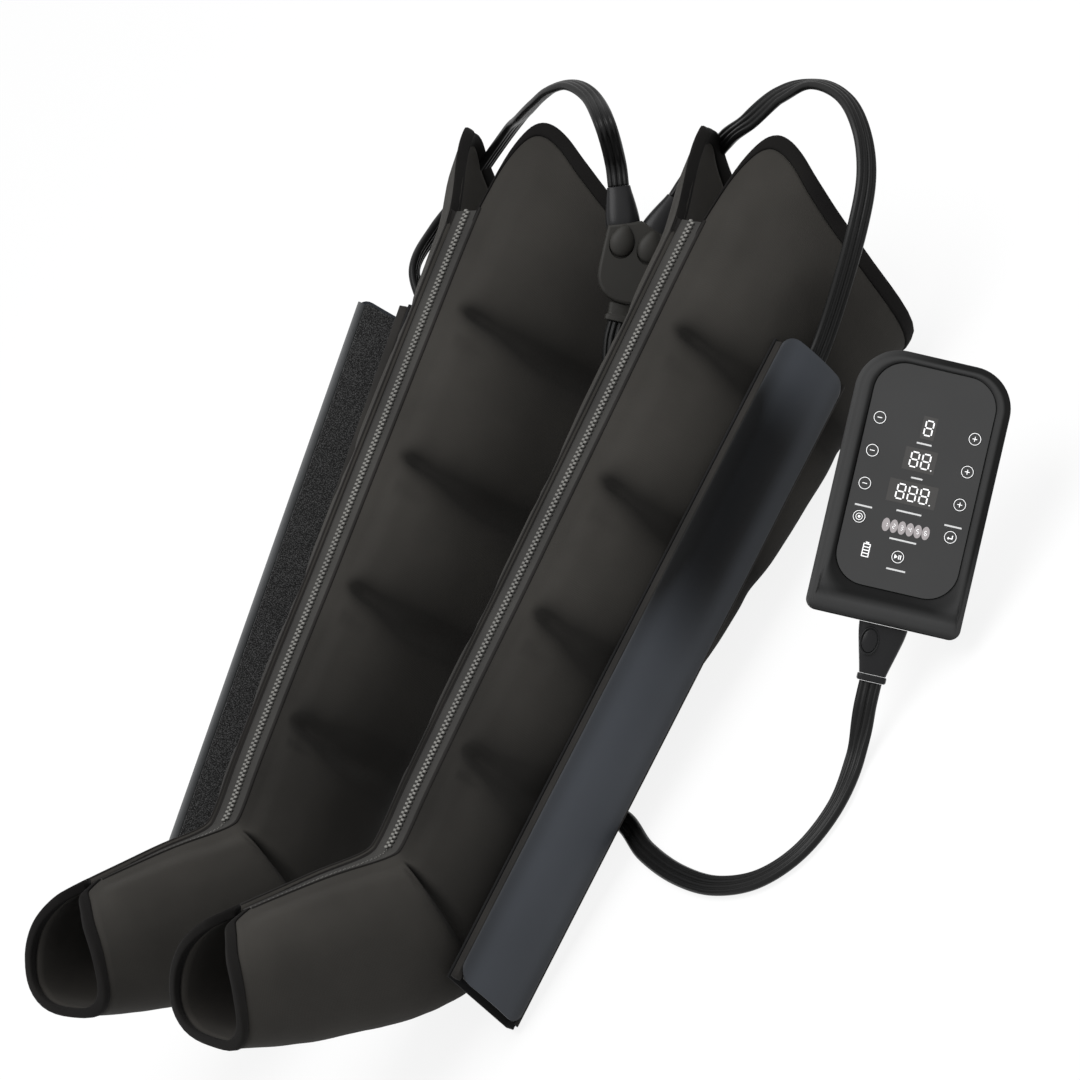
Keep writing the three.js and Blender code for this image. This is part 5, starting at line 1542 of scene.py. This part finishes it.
class THERAPY_OT_splitter(bpy.types.Operator):
    """Makes the splitter with its domes, tail and the two plugs"""

    bl_idname = "therapy.splitter"
    bl_label = "Splitter and plugs"

    def execute(self, context):
        refined("splitter_body", "splitter_plastic", 0.0004, 2, 50)
        refined("splitter_tail", "splitter_plastic", 0.0005)
        for name in SIDES:
            release_dome(name)
            splitter_plug(name)
        return {"FINISHED"}


class THERAPY_OT_hoses(bpy.types.Operator):
    """Makes the three ribbed flat hoses and the pump's hose plug"""

    bl_idname = "therapy.hoses"
    bl_label = "Hoses"

    def execute(self, context):
        body, rim = pump_plug(), release_ring()
        collar = refined("pump_plug_collar", "plug_plastic", 0.0008, 3)
        release = refined("pump_plug_release", "plug_plastic", 0.0005, 2)
        flat_hose("pump_hose", pump_hose_route(), 300, False)
        for name, points, extra in (("left", LEFT_HOSE_POINTS, ()), ("right", RIGHT_HOSE_POINTS, (0.054,))):
            flat_hose(f"{name}_boot_hose", boot_hose_route(name, points, extra), 240, True)
        return {"FINISHED"}


class THERAPY_OT_boots(bpy.types.Operator):
    """Makes the padded covers of both boots with their bound edges"""

    bl_idname = "therapy.boots"
    bl_label = "Boots"

    def execute(self, context):
        take_sizes(context)
        for name in SIDES:
            boot_cover(name)
            boot_binding(name, "top")
            boot_binding(name, "toe")
        return {"FINISHED"}


class THERAPY_OT_zips(bpy.types.Operator):
    """Makes the zippers: tape, teeth, welts, slider and puller"""

    bl_idname = "therapy.zips"
    bl_label = "Zippers"

    def execute(self, context):
        take_sizes(context)
        for name in SIDES:
            slit_welt(name, 1)
            slit_welt(name, -1)
            zip_tape(name)
            zip_teeth(name)
            refined(f"{name}_zipper_slider", "slider_enamel", 0.0009, 3)
            refined(f"{name}_zipper_puller", "slider_enamel", 0.0004, 3)
        return {"FINISHED"}


class THERAPY_OT_covers(bpy.types.Operator):
    """Makes the hose channels with their flaps"""

    bl_idname = "therapy.covers"
    bl_label = "Hose channels and flaps"

    def execute(self, context):
        for name in SIDES:
            channel_back(name)
            channel_edging(name)
            refined(f"{name}_hose_inlet", "soft_rubber", 0.0006)
            hook_strip(name)
            hose_cover(name)
            flap_fold(name)
            if CHANNELS[name]["open"]:
                flap_edge_tape(name)
        return {"FINISHED"}


class THERAPY_OT_pump(bpy.types.Operator):
    """Makes the pump's case, panel and screws"""

    bl_idname = "therapy.pump"
    bl_label = "Pump case"

    def execute(self, context):
        pump_case()
        refined("pump_rear_cover", "pump_rear", 0.0006, 2, 50)
        refined("control_panel", "pump_panel", 0.00025, 2, 50)
        for k in range(1, 5):
            refined(f"housing_screw_{k}", "screw_steel", 0.00015)
        return {"FINISHED"}


class THERAPY_OT_keys(bpy.types.Operator):
    """Makes the keys with their rings and signs, and the panel's figures and bars"""

    bl_idname = "therapy.keys"
    bl_label = "Keys and signs"

    def execute(self, context):
        take_sizes(context)
        for name in KEYS:
            refined(f"{name}_key", "pump_key", 0.0002, 2, 50)
            key_mark(name)
        panel_marks()
        return {"FINISHED"}


class THERAPY_PT_panel(bpy.types.Panel):
    """Lists the steps that dress the set"""

    bl_label = "Therapy Set"
    bl_space_type = "VIEW_3D"
    bl_region_type = "UI"
    bl_category = "Therapy Set"

    def draw(self, context):
        for name in GROUPS:
            group = getattr(context.scene, name)
            box = self.layout.box()
            for value in group.__annotations__:
                box.prop(group, value)
        for operator in STEPS:
            self.layout.operator(operator.bl_idname)


GROUPS = {"therapy_sizes": TherapySetSizes, "therapy_colours": TherapySetColours, "therapy_studio": TherapySetStudio}
STEPS = [
    THERAPY_OT_finishes, THERAPY_OT_studio, THERAPY_OT_splitter, THERAPY_OT_hoses, THERAPY_OT_boots, THERAPY_OT_zips,
    THERAPY_OT_covers, THERAPY_OT_pump, THERAPY_OT_keys,
]


def register():
    for name, group in GROUPS.items():
        bpy.utils.register_class(group)
        setattr(bpy.types.Scene, name, bpy.props.PointerProperty(type=group))
    for part in (*STEPS, THERAPY_PT_panel):
        bpy.utils.register_class(part)


def unregister():
    for part in (THERAPY_PT_panel, *reversed(STEPS)):
        bpy.utils.unregister_class(part)
    for name, group in GROUPS.items():
        delattr(bpy.types.Scene, name)
        bpy.utils.unregister_class(group)


def main():
    register()
    for step in STEPS:
        group, name = step.bl_idname.split(".")
        getattr(getattr(bpy.ops, group), name)()


if __name__ == "__main__":
    main()
